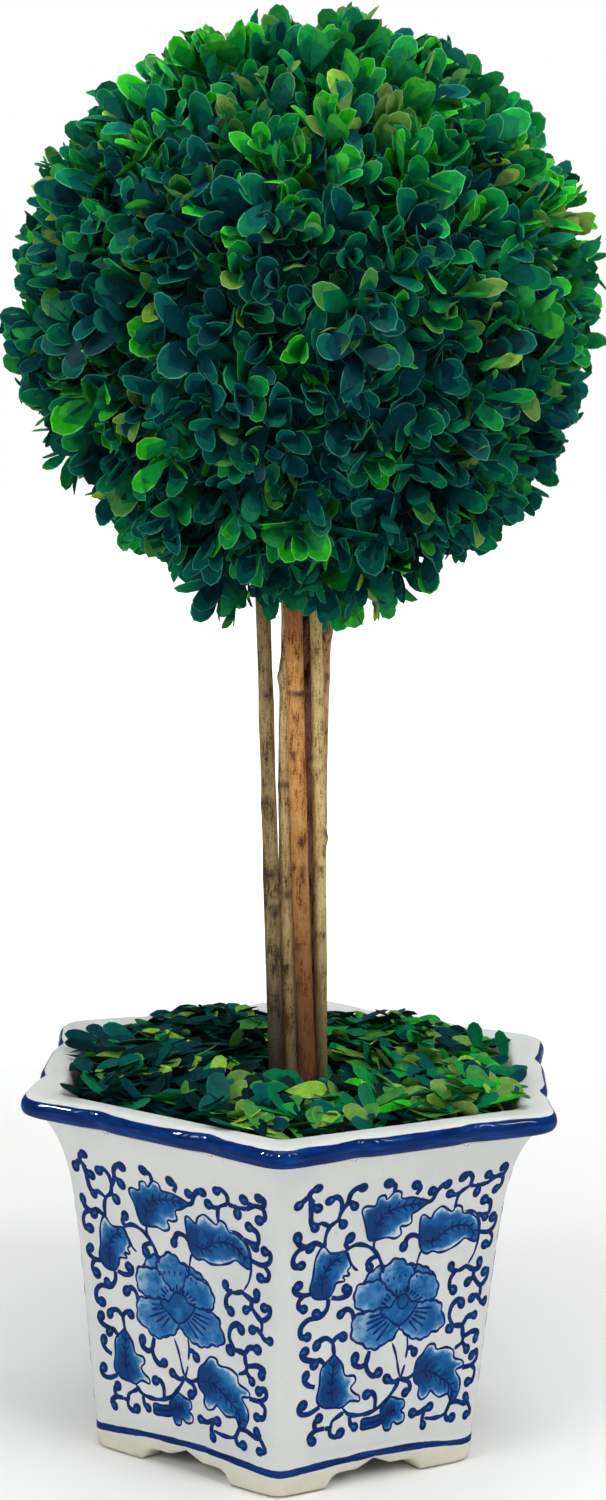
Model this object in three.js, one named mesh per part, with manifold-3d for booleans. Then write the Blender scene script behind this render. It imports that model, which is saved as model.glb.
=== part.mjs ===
// Box topiary ball: a clipped ball of boxwood on a bundle of thin stems, in a six-sided glazed pot
// whose top is covered with loose boxwood leaves.
// Millimetres, +Z up. The origin is on the ground under the middle of the pot, and one corner of
// the pot points along -Y, which is the side that faces the viewer.
import * as THREE from "three";
import { mergeVertices } from "three/addons/utils/BufferGeometryUtils.js";
import Module from "manifold-3d";

const wasm = await Module();
wasm.setup();

// Driving sizes
const BALL_RADIUS = 101.6; // the ball is sold as 8 inches across
const BALL_CENTRE = new THREE.Vector3(-2, -0.1, 385.2);
const POT_HEIGHT = 127;
const GAP = 0.4; // room between two pieces that touch
const MERGE_FINE = 1e-4; // points nearer than this are one point
const MERGE_COARSE = 1e-3;

// Pot: distances from the middle to a flat side are apothems
const SIDES = 6;
const SIDE_ANGLE = (2 * Math.PI) / SIDES;
const HALF_SIDE = Math.tan(SIDE_ANGLE / 2); // half a side's length for an apothem of one
const WALL_START = 63.8;
const WALL_DRAFT = 0.0875; // how far the wall leans out for each millimetre of height
const FLARE = { height: 122, out: 11, reach: 12 }; // the wall curls out below the rim
const WALL_THICKNESS = 6;
const INSIDE = { height: 110, apothem: 71.4, draft: 0.1 }; // the inside opens less near the rim
const WALL_ROUNDING = 40; // a higher number gives sharper corners
const RIM_ROUNDING = 26;
const OPENING_ROUNDING = 70;
const LIP = { radius: 3.8, apothem: 83.7 }; // half-round edge of the rim
const OPENING = 77.4;
const FLOOR = { underside: 10, top: 16, curve: 7 };
const FOOT = { inner: 55.5, outer: 61.6, rise: 2.4 };
// Cut-out between two feet: heights in millimetres, widths as parts of a side from its middle
const APRON = { peak: 7.5, cusp: 0.09, lobe: 4.6, lobeEnd: 0.17, foot: 0.24 };
const EAR = { out: 3, width: 0.12 }; // the rim's corners stand out
const NOTCH = { place: 0.218, depth: 2.2, width: 0.036 }; // dips in the rim beside each ear

// Points of the outline round half a side, as parts of its length from its middle
const SIDE_STEPS = [0, 0.09, 0.17, 0.22, 0.27, 0.4];
const WALL_LEVELS = [14, 60, 88, 104, 113, 119];
const LIP_TURNS = [-40, 5, 50, 90]; // degrees round the lip's half circle

// Filler and loose leaves in the pot
const FILLER_TOP = 102;
const WALL_ROOM = 1.2; // the filling is this much smaller than the pot's inside, on its flat sides
const BED = { foot: 102.6, edge: 119.5, crown: 122.5, shoulder: 5, rings: [42, 18] };
const LOOSE = { leaf: 21, leaves: 50, seed: 23, tries: 600, sunk: 1.5, overhang: 4 };

// Stems: where each crosses two levels, its radius there, and how far it bows sideways between them
const STEM_LOW = 121;
const STEM_HIGH = 282;
const STEM_FOOT = 82; // the cut end, down in the filler
const STEM_END = 345; // the cut end, up in the ball
const STEM_FACETS = 8;
const STEM_STEPS = 10;
const STEMS = [
  { name: "stem_left", low: [-6.2, -1.3], high: [-13.8, -1.6], radii: [2.9, 2.35], bow: -0.5 },
  { name: "stem_second", low: [-1.9, 3.9], high: [-6.9, 3.7], radii: [2.35, 1.8], bow: 0.5 },
  { name: "stem_centre", low: [5.1, -2.8], high: [-2.8, -3.2], radii: [3.6, 3.4], bow: -1.6 },
  { name: "stem_right", low: [8.8, 2.8], high: [4.4, -0.3], radii: [2.6, 2.5], bow: 0.4 },
  { name: "stem_back", low: [1.8, 7.8], high: [0.9, 4.4], radii: [2.4, 2.2], bow: -0.2 },
  { name: "stem_back_right", low: [7.0, 7.9], high: [6.7, 5.1], radii: [2.3, 2.4], bow: -0.6 },
];
const BARK = {
  stem_left: 0x6b5a3c,
  stem_second: 0x7d5c3c,
  stem_centre: 0xa8622e,
  stem_right: 0x8c7a3c,
  stem_back: 0x4a3036,
  stem_back_right: 0x8a5238,
};
const BUNDLE = { x: 1.3, y: 1.6, radius: 12, facets: 12 }; // goes round all stems at the bed

// Ball: sprigs stand out of a smaller core, each with two pairs of leaves set crosswise
const CORE_RADIUS = 80;
const SPRIGS = 94;
const BALL_SEED = 57;
const JITTER = 0.4; // of the distance between two sprigs
const SPRIG_LEAF = 23; // larger than life, because there are fewer leaves
const PAIRS = [
  { open: 0.46, size: 1 },
  { open: 0.95, size: 0.94 },
];
const REACH_SPREAD = 2.5; // some sprigs end this much inside the ball's outline
const TWIG = { radius: 1.4, start: 75, leafFoot: 2.4, tip: 3 };
const TWIG_CLEARANCE = 4; // a sprig nearer a stem is left out
const LEAF_CLEARANCE = 1;
const LEAF = { thickness: 0.07, widest: 0.55, width: 0.37, bluntWidth: 0.18 };

// A seeded run of numbers from 0 to 1, the same each time
function seeded(seed) {
  let state = seed >>> 0;
  return () => {
    state = (state + 0x6d2b79f5) >>> 0;
    let mixed = Math.imul(state ^ (state >>> 15), state | 1);
    mixed ^= mixed + Math.imul(mixed ^ (mixed >>> 7), mixed | 61);
    return ((mixed ^ (mixed >>> 14)) >>> 0) / 4294967296;
  };
}

// Geometry from a list of points and a list of triangles
function geometryOf(points, triangles) {
  const geometry = new THREE.BufferGeometry();
  geometry.setAttribute("position", new THREE.Float32BufferAttribute(points.flat(), 3));
  geometry.setIndex(triangles.flat());
  return geometry;
}

// Closed solid from rings with the same number of points, each ring above or inside the last one
function loft(rings) {
  const count = rings[0].length;
  const points = rings.flat();
  const triangles = [];
  for (let r = 0; r + 1 < rings.length; r++) {
    for (let i = 0; i < count; i++) {
      const a = r * count + i;
      const b = r * count + ((i + 1) % count);
      triangles.push([a, b, b + count], [a, b + count, a + count]);
    }
  }
  const middle = (ring) => ring[0].map((_, k) => ring.reduce((sum, p) => sum + p[k], 0) / count);
  const first = points.push(middle(rings[0])) - 1;
  const last = points.push(middle(rings.at(-1))) - 1;
  const top = (rings.length - 1) * count;
  for (let i = 0; i < count; i++) {
    const next = (i + 1) % count;
    triangles.push([first, next, i], [last, top + i, top + next]);
  }
  return geometryOf(points, triangles);
}

function toSolid(geometry, tolerance = MERGE_FINE) {
  const bare = geometry.clone();
  bare.deleteAttribute("normal");
  bare.deleteAttribute("uv");
  const merged = mergeVertices(bare, tolerance);
  return new wasm.Manifold(
    new wasm.Mesh({
      numProp: 3,
      vertProperties: merged.attributes.position.array,
      triVerts: new Uint32Array(merged.index.array),
    }),
  );
}

function toGeometry(solid) {
  const mesh = solid.getMesh();
  const geometry = new THREE.BufferGeometry();
  geometry.setAttribute("position", new THREE.BufferAttribute(mesh.vertProperties, 3));
  geometry.setIndex(new THREE.BufferAttribute(mesh.triVerts, 1));
  return geometry;
}

// Whether each edge still has one triangle on either side once the nearest points are merged
function isClosed(geometry) {
  const { array } = mergeVertices(geometry, MERGE_FINE).index;
  const edges = new Set();
  for (let i = 0; i < array.length; i += 3) {
    const corners = [array[i], array[i + 1], array[i + 2]];
    if (new Set(corners).size < 3) continue;
    for (let k = 0; k < 3; k++) {
      const edge = `${corners[k]} ${corners[(k + 1) % 3]}`;
      if (edges.has(edge)) return false;
      edges.add(edge);
    }
  }
  return [...edges].every((edge) => edges.has(edge.split(" ").reverse().join(" ")));
}

// Whether a solid stays one closed body when points that nearly meet are merged
function isClean(solid) {
  const geometry = toGeometry(solid);
  if (!isClosed(geometry)) return false;
  try {
    return toSolid(geometry, MERGE_COARSE).decompose().length === 1;
  } catch {
    return false;
  }
}

// Joins pieces to a body one by one, and leaves out any that would pinch it or seal a bubble in it
function joinCleanly(body, pieces) {
  return pieces.reduce((whole, piece) => {
    const joined = whole.add(piece);
    return isClean(joined) ? joined : whole;
  }, body);
}

// How far out a rounded hexagon lies in a direction: a corner points along -Y
function hexagonRadius(angle, apothem, rounding) {
  let sum = 0;
  for (let k = 0; k < SIDES; k++) {
    sum += Math.max(0, Math.cos(angle - k * SIDE_ANGLE)) ** rounding;
  }
  return apothem / sum ** (1 / rounding);
}

// The apothem of the sharp hexagon through a point
function hexagonReach(x, y) {
  let reach = 0;
  for (let k = 0; k < SIDES; k++) {
    reach = Math.max(reach, x * Math.cos(k * SIDE_ANGLE) + y * Math.sin(k * SIDE_ANGLE));
  }
  return reach;
}

// The directions of the pot's points, each with its place along its own side
function sideStations(steps) {
  const stations = [];
  const half = [...steps.slice(1).reverse().map((t) => -t), ...steps];
  for (let k = 0; k < SIDES; k++) {
    for (const t of [-0.5, ...half]) {
      stations.push({ t, angle: k * SIDE_ANGLE + Math.atan(2 * t * HALF_SIDE) });
    }
  }
  return stations;
}

function ringOf(stations, apothem, rounding, height, edge = () => 0) {
  return stations.map((station) => {
    const radius = hexagonRadius(station.angle, apothem, rounding) + edge(station.t);
    const z = typeof height === "function" ? height(station.t) : height;
    return [radius * Math.cos(station.angle), radius * Math.sin(station.angle), z];
  });
}

const bump = (distance, width) => Math.exp(-((distance / width) ** 2));

// The rim's own outline: ears at the corners and a dip on each side of them
function rimEdge(t) {
  const along = Math.abs(t);
  const ear = EAR.out * bump(0.5 - along, EAR.width);
  return ear - NOTCH.depth * bump(along - NOTCH.place, NOTCH.width);
}

// Height of the cut-out between two feet: a cusp in the middle and a flat lobe on each side
function apronHeight(t) {
  const along = Math.abs(t);
  if (along >= APRON.foot) return 0;
  if (along > APRON.lobeEnd) {
    const down = (along - APRON.lobeEnd) / (APRON.foot - APRON.lobeEnd);
    return APRON.lobe * Math.sqrt(Math.max(0, 1 - down ** 2));
  }
  const up = Math.max(0, 1 - along / APRON.cusp);
  return APRON.lobe + (APRON.peak - APRON.lobe) * up;
}

// The outside of the wall: a straight draft with a curl below the rim
function wallApothem(z) {
  return WALL_START + WALL_DRAFT * z + FLARE.out * Math.exp((z - FLARE.height) / FLARE.reach);
}

function innerApothem(z) {
  const inside = INSIDE.apothem + INSIDE.draft * (z - INSIDE.height);
  return Math.min(wallApothem(z) - WALL_THICKNESS, inside);
}

// A point on the lip's half circle, as an apothem and a height
function lipPoint(degrees) {
  const turn = THREE.MathUtils.degToRad(degrees);
  return [
    LIP.apothem + LIP.radius * Math.cos(turn),
    POT_HEIGHT - LIP.radius + LIP.radius * Math.sin(turn),
  ];
}

function makePot() {
  const stations = sideStations(SIDE_STEPS);
  const ring = (apothem, height, rounding, edge) => ringOf(stations, apothem, rounding, height, edge);
  const rings = [
    ring(FOOT.inner - 1, FLOOR.underside, WALL_ROUNDING),
    ring(FOOT.inner, apronHeight, WALL_ROUNDING),
    ring(FOOT.outer, apronHeight, WALL_ROUNDING),
    ring(wallApothem(FOOT.rise), (t) => apronHeight(t) + FOOT.rise, WALL_ROUNDING),
  ];
  for (const z of WALL_LEVELS) {
    const rounding = z === WALL_LEVELS.at(-1) ? RIM_ROUNDING : WALL_ROUNDING;
    rings.push(ring(wallApothem(z), z, rounding));
  }
  for (const degrees of LIP_TURNS) {
    const [apothem, z] = lipPoint(degrees);
    rings.push(ring(apothem, z, RIM_ROUNDING, rimEdge));
  }
  rings.push(ring(OPENING, POT_HEIGHT - 0.5, OPENING_ROUNDING));
  rings.push(ring(OPENING - 1.9, POT_HEIGHT - 2.5, OPENING_ROUNDING));
  for (const z of [INSIDE.height, FLOOR.top + FLOOR.curve]) {
    rings.push(ring(innerApothem(z), z, OPENING_ROUNDING));
  }
  rings.push(ring(innerApothem(FLOOR.top) - FLOOR.curve, FLOOR.top, OPENING_ROUNDING));
  return loft(rings);
}

// A plain path up one stem: a straight lean with a slight bow
function stemPoint(stem, z) {
  const along = (z - STEM_LOW) / (STEM_HIGH - STEM_LOW);
  const bow = stem.bow * 4 * along * (1 - along) * (along > 0 && along < 1 ? 1 : 0);
  const radius = THREE.MathUtils.lerp(stem.radii[0], stem.radii[1], along);
  return {
    x: THREE.MathUtils.lerp(stem.low[0], stem.high[0], along) + bow,
    y: THREE.MathUtils.lerp(stem.low[1], stem.high[1], along),
    radius,
  };
}

// One stem, or with grow above zero the room that it needs, between two heights
function stemSolid(stem, from, to, steps, grow = 0) {
  const rings = [];
  for (let s = 0; s <= steps; s++) {
    const z = from + ((to - from) * s) / steps;
    const { x, y, radius } = stemPoint(stem, z);
    const ring = [];
    for (let i = 0; i < STEM_FACETS; i++) {
      const angle = (2 * Math.PI * i) / STEM_FACETS;
      ring.push([x + (radius + grow) * Math.cos(angle), y + (radius + grow) * Math.sin(angle), z]);
    }
    rings.push(ring);
  }
  return loft(rings);
}

// Cuts the room for every stem out of a solid
function cutStems(solid, from, to, steps) {
  return STEMS.reduce((left, stem) => left.subtract(toSolid(stemSolid(stem, from, to, steps, GAP))), solid);
}

// The gap between a point and the nearest stem
function stemClearance(point) {
  if (point.z < STEM_FOOT || point.z > STEM_END) return Infinity;
  return Math.min(
    ...STEMS.map((stem) => {
      const at = stemPoint(stem, point.z);
      return Math.hypot(point.x - at.x, point.y - at.y) - at.radius;
    }),
  );
}

// The points of a leaf from its root: left, right and the blunt tip's two corners, then top and back
function leafPoints(root, along, across, length) {
  const up = new THREE.Vector3().crossVectors(along, across).normalize();
  const place = (s, w, h) => {
    const offset = new THREE.Vector3()
      .addScaledVector(along, s)
      .addScaledVector(across, w)
      .addScaledVector(up, h);
    return offset.multiplyScalar(length).add(root);
  };
  return {
    left: place(LEAF.widest, -LEAF.width, 0),
    right: place(LEAF.widest, LEAF.width, 0),
    tipLeft: place(1, -LEAF.bluntWidth, 0),
    tipRight: place(1, LEAF.bluntWidth, 0),
    top: place(LEAF.widest, 0, LEAF.thickness / 2),
    back: place(LEAF.widest, 0, -LEAF.thickness / 2),
  };
}

// A closed solid that grows by named points and keeps its faces turned outwards
class Shape {
  points = [];
  triangles = [];

  add(point) {
    return this.points.push(point.toArray()) - 1;
  }

  addLeafBlade(points) {
    const leaf = {};
    for (const [name, point] of Object.entries(points)) leaf[name] = this.add(point);
    this.triangles.push(
      [leaf.left, leaf.tipLeft, leaf.top],
      [leaf.top, leaf.tipLeft, leaf.tipRight],
      [leaf.top, leaf.tipRight, leaf.right],
      [leaf.left, leaf.back, leaf.tipLeft],
      [leaf.back, leaf.tipRight, leaf.tipLeft],
      [leaf.back, leaf.right, leaf.tipRight],
    );
    return leaf;
  }

  addWall(lowLeft, lowRight, highRight, highLeft) {
    this.triangles.push([lowLeft, lowRight, highRight], [lowLeft, highRight, highLeft]);
  }

  // A leaf that grows out of a four-sided face
  addLeafOn(lowLeft, lowRight, highRight, highLeft, points) {
    const leaf = this.addLeafBlade(points);
    this.triangles.push(
      [lowLeft, lowRight, leaf.back],
      [lowRight, leaf.right, leaf.back],
      [lowRight, highRight, leaf.right],
      [highRight, leaf.top, leaf.right],
      [highRight, highLeft, leaf.top],
      [highLeft, leaf.left, leaf.top],
      [highLeft, lowLeft, leaf.left],
      [lowLeft, leaf.back, leaf.left],
    );
  }

  geometry() {
    return geometryOf(this.points, this.triangles);
  }
}

// A loose leaf with a pointed root
function makeLeaf(root, along, across, length) {
  const points = leafPoints(root, along, across, length);
  const shape = new Shape();
  const foot = shape.add(root);
  const leaf = shape.addLeafBlade(points);
  shape.triangles.push(
    [foot, leaf.left, leaf.top],
    [foot, leaf.top, leaf.right],
    [foot, leaf.back, leaf.left],
    [foot, leaf.right, leaf.back],
  );
  return { points: Object.values(points), geometry: shape.geometry() };
}

function perpendicular(axis) {
  const helper = Math.abs(axis.z) < 0.9 ? new THREE.Vector3(0, 0, 1) : new THREE.Vector3(1, 0, 0);
  return new THREE.Vector3().crossVectors(axis, helper).normalize();
}

// Where the sprigs stand: spread evenly over the ball, then moved a little by the seed
function sprigPlaces(count, random) {
  const golden = Math.PI * (3 - Math.sqrt(5));
  const spread = Math.sqrt((4 * Math.PI) / count);
  const places = [];
  for (let i = 0; i < count; i++) {
    const height = 1 - (2 * i + 1) / count;
    const ring = Math.sqrt(1 - height * height);
    const way = new THREE.Vector3(ring * Math.cos(golden * i), ring * Math.sin(golden * i), height);
    const jitter = new THREE.Vector3(random() - 0.5, random() - 0.5, random() - 0.5);
    way.addScaledVector(jitter, spread * JITTER).normalize();
    const turn = random() * Math.PI;
    places.push({ way, turn, reach: BALL_RADIUS - REACH_SPREAD * random() ** 2 });
  }
  return places;
}

// One sprig as one closed solid: a four-sided twig whose side faces open out into leaves near its tip
function sprigSolid({ way, turn, reach }) {
  const side = perpendicular(way).applyAxisAngle(way, turn);
  const other = new THREE.Vector3().crossVectors(way, side);
  const [steep] = PAIRS;
  const spread = SPRIG_LEAF * Math.hypot(Math.sin(steep.open), LEAF.bluntWidth);
  const whorl = Math.sqrt(reach * reach - spread * spread) - SPRIG_LEAF * Math.cos(steep.open);
  const root = BALL_CENTRE.clone().addScaledVector(way, whorl);
  const shape = new Shape();
  const facing = (quarter) => {
    const angle = (quarter * Math.PI) / 2;
    return side.clone().multiplyScalar(Math.cos(angle)).addScaledVector(other, Math.sin(angle));
  };
  const addRing = (distance) =>
    [0, 1, 2, 3].map((i) => {
      const corner = facing(i - 0.5).multiplyScalar(TWIG.radius).addScaledVector(way, distance);
      return shape.add(corner.add(BALL_CENTRE));
    });
  const foot = addRing(TWIG.start);
  const low = addRing(whorl - TWIG.leafFoot / 2);
  const high = addRing(whorl + TWIG.leafFoot / 2);
  const tip = shape.add(BALL_CENTRE.clone().addScaledVector(way, whorl + TWIG.tip));
  shape.triangles.push([foot[0], foot[2], foot[1]], [foot[0], foot[3], foot[2]]);
  for (let i = 0; i < 4; i++) {
    const j = (i + 1) % 4;
    const { open, size } = PAIRS[i % 2];
    const along = way.clone().multiplyScalar(Math.cos(open)).addScaledVector(facing(i), Math.sin(open));
    const points = leafPoints(root, along, facing(i + 1), SPRIG_LEAF * size);
    shape.addWall(foot[i], foot[j], low[j], low[i]);
    shape.triangles.push([high[i], high[j], tip]);
    if (Object.values(points).every((p) => stemClearance(p) > LEAF_CLEARANCE)) {
      shape.addLeafOn(low[i], low[j], high[j], high[i], points);
    } else {
      shape.addWall(low[i], low[j], high[j], high[i]);
    }
  }
  return toSolid(shape.geometry());
}

function makeBall() {
  const random = seeded(BALL_SEED);
  const core = new THREE.IcosahedronGeometry(CORE_RADIUS, 4).translate(...BALL_CENTRE.toArray());
  const clearOfStems = (place) => {
    const foot = BALL_CENTRE.clone().addScaledVector(place.way, CORE_RADIUS);
    return stemClearance(foot) > TWIG_CLEARANCE;
  };
  const sprigs = sprigPlaces(SPRIGS, random).filter(clearOfStems);
  const grown = sprigs.map(sprigSolid);
  const underside = BALL_CENTRE.z - CORE_RADIUS - 5;
  const hollowed = cutStems(toSolid(core), underside, STEM_END + GAP, 1);
  return toGeometry(joinCleanly(hollowed, grown));
}

function makeFiller() {
  const stations = sideStations([0]);
  const levels = [FLOOR.top + FLOOR.curve + GAP, 60, 92, FILLER_TOP];
  const rings = levels.map((z) => ringOf(stations, innerApothem(z) - WALL_ROOM, WALL_ROUNDING, z));
  const foot = innerApothem(FLOOR.top) - FLOOR.curve - WALL_ROOM;
  rings.unshift(ringOf(stations, foot, WALL_ROUNDING, FLOOR.top + GAP));
  return toGeometry(cutStems(toSolid(loft(rings)), STEM_FOOT - GAP, FILLER_TOP + 5, 1));
}

// The room for the whole bundle of stems in the leaf bed
function bundleRoom() {
  const ring = (z) =>
    Array.from({ length: BUNDLE.facets }, (_, i) => {
      const angle = (2 * Math.PI * i) / BUNDLE.facets;
      return [BUNDLE.x + BUNDLE.radius * Math.cos(angle), BUNDLE.y + BUNDLE.radius * Math.sin(angle), z];
    });
  return loft([ring(BED.foot - 1), ring(BED.crown + 1)]);
}

// Height of the packed leaves over the filler, highest round the stems
function bedHeight(x, y) {
  const out = Math.min(1, hexagonReach(x, y) / innerApothem(BED.edge));
  return BED.crown - (BED.crown - BED.edge) * out ** 3;
}

// The room for loose leaves: inside the wall, and above it free only just past the opening
function insideOpening(point) {
  const reach = hexagonReach(point.x, point.y);
  if (point.z > POT_HEIGHT + LEAF_CLEARANCE) return reach < OPENING + LOOSE.overhang;
  return reach < innerApothem(point.z) - WALL_ROOM;
}

function makeLeafBed() {
  const random = seeded(LOOSE.seed);
  const stations = sideStations([0]);
  const ring = (apothem, z) => ringOf(stations, apothem, WALL_ROUNDING, z);
  const edge = innerApothem(BED.edge) - WALL_ROOM;
  const mound = loft([
    ring(innerApothem(BED.foot) - WALL_ROOM, BED.foot),
    ring(edge, BED.edge - BED.shoulder / 3),
    ...[edge - BED.shoulder, ...BED.rings].map((apothem) => ring(apothem, bedHeight(apothem, 0))),
  ]);
  const leaves = [];
  for (let i = 0; leaves.length < LOOSE.leaves && i < LOOSE.tries; i++) {
    const distance = OPENING * Math.sqrt(random());
    const bearing = random() * 2 * Math.PI;
    const x = distance * Math.cos(bearing);
    const y = distance * Math.sin(bearing);
    const heading = random() * 2 * Math.PI;
    const lift = THREE.MathUtils.lerp(0.2, 0.8, random() ** 2);
    const roll = (random() - 0.5) * 1.2;
    const length = LOOSE.leaf * THREE.MathUtils.lerp(0.85, 1.1, random());
    const along = new THREE.Vector3(
      Math.cos(heading) * Math.cos(lift),
      Math.sin(heading) * Math.cos(lift),
      Math.sin(lift),
    );
    const across = new THREE.Vector3(-Math.sin(heading), Math.cos(heading), 0).applyAxisAngle(along, roll);
    const root = new THREE.Vector3(x, y, bedHeight(x, y) - LOOSE.sunk);
    const leaf = makeLeaf(root, along, across, length);
    const fits = leaf.points.every((p) => insideOpening(p) && stemClearance(p) > LEAF_CLEARANCE);
    if (fits) leaves.push(toSolid(leaf.geometry));
  }
  const hollowed = toSolid(mound).subtract(toSolid(bundleRoom()));
  return toGeometry(joinCleanly(hollowed, leaves));
}

function finish(colour, roughness) {
  return new THREE.MeshStandardMaterial({ color: colour, roughness, metalness: 0, flatShading: true });
}

function addMesh(group, name, geometry, material) {
  const mesh = new THREE.Mesh(geometry, material);
  mesh.name = name;
  group.add(mesh);
}

const plant = new THREE.Group();
addMesh(plant, "pot", makePot(), finish(0xe4e8e4, 0.18));
addMesh(plant, "filler", makeFiller(), finish(0x9a958a, 0.95));
addMesh(plant, "leaf_bed", makeLeafBed(), finish(0x2f6a2c, 0.6));
for (const stem of STEMS) {
  const geometry = stemSolid(stem, STEM_FOOT, STEM_END, STEM_STEPS);
  addMesh(plant, stem.name, geometry, finish(BARK[stem.name], 0.85));
}
addMesh(plant, "ball", makeBall(), finish(0x1d5a2e, 0.55));

export default plant;
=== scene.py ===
"""Box topiary ball in its painted pot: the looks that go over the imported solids.

Sizes are in millimetres, in the frame of the solids, and become metres where a mesh is made.
"""

import math

import bmesh
import bpy
import numpy as np
from mathutils import Matrix, Vector, noise
from mathutils.geometry import delaunay_2d_cdt


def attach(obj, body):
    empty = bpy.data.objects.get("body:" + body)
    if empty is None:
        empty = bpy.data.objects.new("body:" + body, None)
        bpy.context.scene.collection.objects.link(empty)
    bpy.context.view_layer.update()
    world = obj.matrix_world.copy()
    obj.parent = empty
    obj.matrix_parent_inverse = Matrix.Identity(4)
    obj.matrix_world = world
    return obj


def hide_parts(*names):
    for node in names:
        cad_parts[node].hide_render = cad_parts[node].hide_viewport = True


MM = 0.001

# Ball
BALL_RADIUS = 101.6
BALL_CENTRE = np.array([-2.0, -0.1, 385.2])
CORE_RADIUS = 79
SPRIGS = 960
BALL_SEED = 57
JITTER = 0.55
REACH_SPREAD = 20.5
REACH_LUMPS = 9
TIPS_OUT = 1.5
INNER_LEAVES, INNER_LOW, INNER_HIGH = 640, 81, 88
TWIG_START, TWIG_RADIUS = 74, 0.75
# Share of the leaves whose tint isn't their sprig's
STRAY_TINTS = 0.35
# Least gap between a stem and a leaf or twig of the ball, or a leaf of the bed
LEAF_GAP, TWIG_GAP, BED_LEAF_GAP = 0.3, 1.0, 0.4
SKIRT_DROP = 7.5

# Pot: distances from the middle to a flat side are apothems
POT_HEIGHT = 127
SIDES = 6
SIDE_ANGLE = 2 * math.pi / SIDES
HALF_SIDE = math.tan(SIDE_ANGLE / 2)
WALL_START = 63.8
WALL_DRAFT = 0.0875
FLARE_HEIGHT, FLARE_OUT, FLARE_REACH = 122, 11, 12
WALL_THICKNESS = 6
INSIDE_HEIGHT, INSIDE_APOTHEM, INSIDE_DRAFT = 110, 71.4, 0.1
WALL_ROUNDING, RIM_ROUNDING, OPENING_ROUNDING = 40, 26, 70
LIP_RADIUS, LIP_APOTHEM = 3.8, 83.7
OPENING = 77.4
FLOOR_UNDERSIDE, FLOOR_TOP, FLOOR_CURVE = 10, 16, 7
FOOT_INNER, FOOT_OUTER, FOOT_RISE = 55.5, 61.6, 2.4
APRON_PEAK, APRON_CUSP, APRON_LOBE, APRON_LOBE_END, APRON_FOOT = 7.5, 0.09, 4.6, 0.17, 0.24
EAR_OUT, EAR_WIDTH = 3, 0.12
NOTCH_PLACE, NOTCH_DEPTH, NOTCH_WIDTH = 0.218, 1.8, 0.052
STATIONS_PER_SIDE = 64

# Leaf bed
BED_FOOT, BED_SHOULDER = 102.6, 5
HEAP_EDGE, HEAP_CROWN = 123.9, 127.5
HEAP_ROOM_BACK, HEAP_ROOM_FRONT = 1.4, 6.5
HEAP_DIP, DIP_MIDDLE, DIP_REACH = 7.6, (2, -15), 28
HEAP_RISE_LEFT, HEAP_RISE_RIGHT = 3.0, 3.0
# Peaks of the heap behind the stems: place, reach, height
HEAP_PEAKS = [(-36, 50, 24, 3.6), (38, 52, 19, 3.8)]
LITTER_DEPTH = 1.8
OVERHANG = 4.5
WALL_ROOM = 1.2
BED_LEAVES = 800
BED_EDGE_LEAVES, BED_EDGE_START = 300, 64
# Share of the bed's leaves that lean, and how high the leaves are stacked
LEANING_SHARE, STACK_HEIGHT = 0.4, 3.6
# Height at which the pot's mouth begins to round out, and how much narrower it is there
MOUTH_HEIGHT, MOUTH_INWARD = 123.6, 2.1
BED_SEED = 23
# Leaves laid one by one: foot, way that it points, way that its underside faces, length, width, tint
PLACED_LEAVES = [
    ((64.5, 27.0, 125.8), (-0.15, 0.1, 1.0), (0.25, 1.0, 0.1), 12.0, 1.0, "dark"),
    ((74.6, 20.0, 124.6), (-0.25, 0.1, 1.0), (0.25, 1.0, 0.1), 12.5, 0.8, "dark"),
    ((-2.2, -33.0, 126.6), (1.0, 0.0, 0.02), (0.0, 0.7, -0.7), 15.0, 0.95, "lime"),
    ((-69.5, 16.0, 129.4), (-1.0, -0.05, 0.06), (0.0, 0.5, -0.85), 14.0, 0.95, "night"),
    ((-68.5, 9.0, 128.4), (-1.0, -0.1, 0.05), (0.0, 0.45, -0.9), 14.0, 0.9, "shadow"),
    ((-58.0, 20.0, 129.0), (-0.75, 0.4, 0.12), (0.1, 0.5, -0.85), 14.5, 0.95, "deep"),
    ((-69.0, 25.0, 127.9), (-0.6, 0.75, 0.05), (0.1, 0.4, -0.9), 13.0, 0.9, "night"),
    ((61.0, -35.0, 126.0), (0.85, -0.3, 0.25), (0.2, 0.5, -0.85), 14.0, 1.0, "fern"),
    ((58.0, -42.0, 125.4), (0.8, -0.25, 0.3), (0.2, 0.5, -0.85), 14.0, 0.95, "dark"),
]
LAID_CLEAR, LAID_CLEAR_REACH = (4.8, -39), 9

# Stems: where each crosses two levels, its radius there, and how far it bows between them
STEM_LOW, STEM_HIGH = 121, 282
STEM_FOOT, STEM_END = 82, 345
STEM_SIDES = 28
STEM_STEP = 0.9
STEMS = {
    "stem_left": ((-6.1, -1.3), (-13.7, -1.6), (2.9, 2.5), 0.0),
    "stem_second": ((-0.7, 2.6), (-5.8, 0.6), (3.15, 2.0), -1.5),
    "stem_centre": ((4.9, -2.8), (-3.4, -3.2), (2.85, 3.0), -0.5),
    "stem_right": ((9.1, 2.8), (4.1, -0.3), (2.25, 2.15), 0.35),
    "stem_back": ((4.6, 7.3), (0.4, 4.6), (2.9, 2.2), 0.0),
    "stem_back_right": ((8.9, 10.4), (6.9, 5.6), (1.9, 2.3), -1.0),
}
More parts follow.
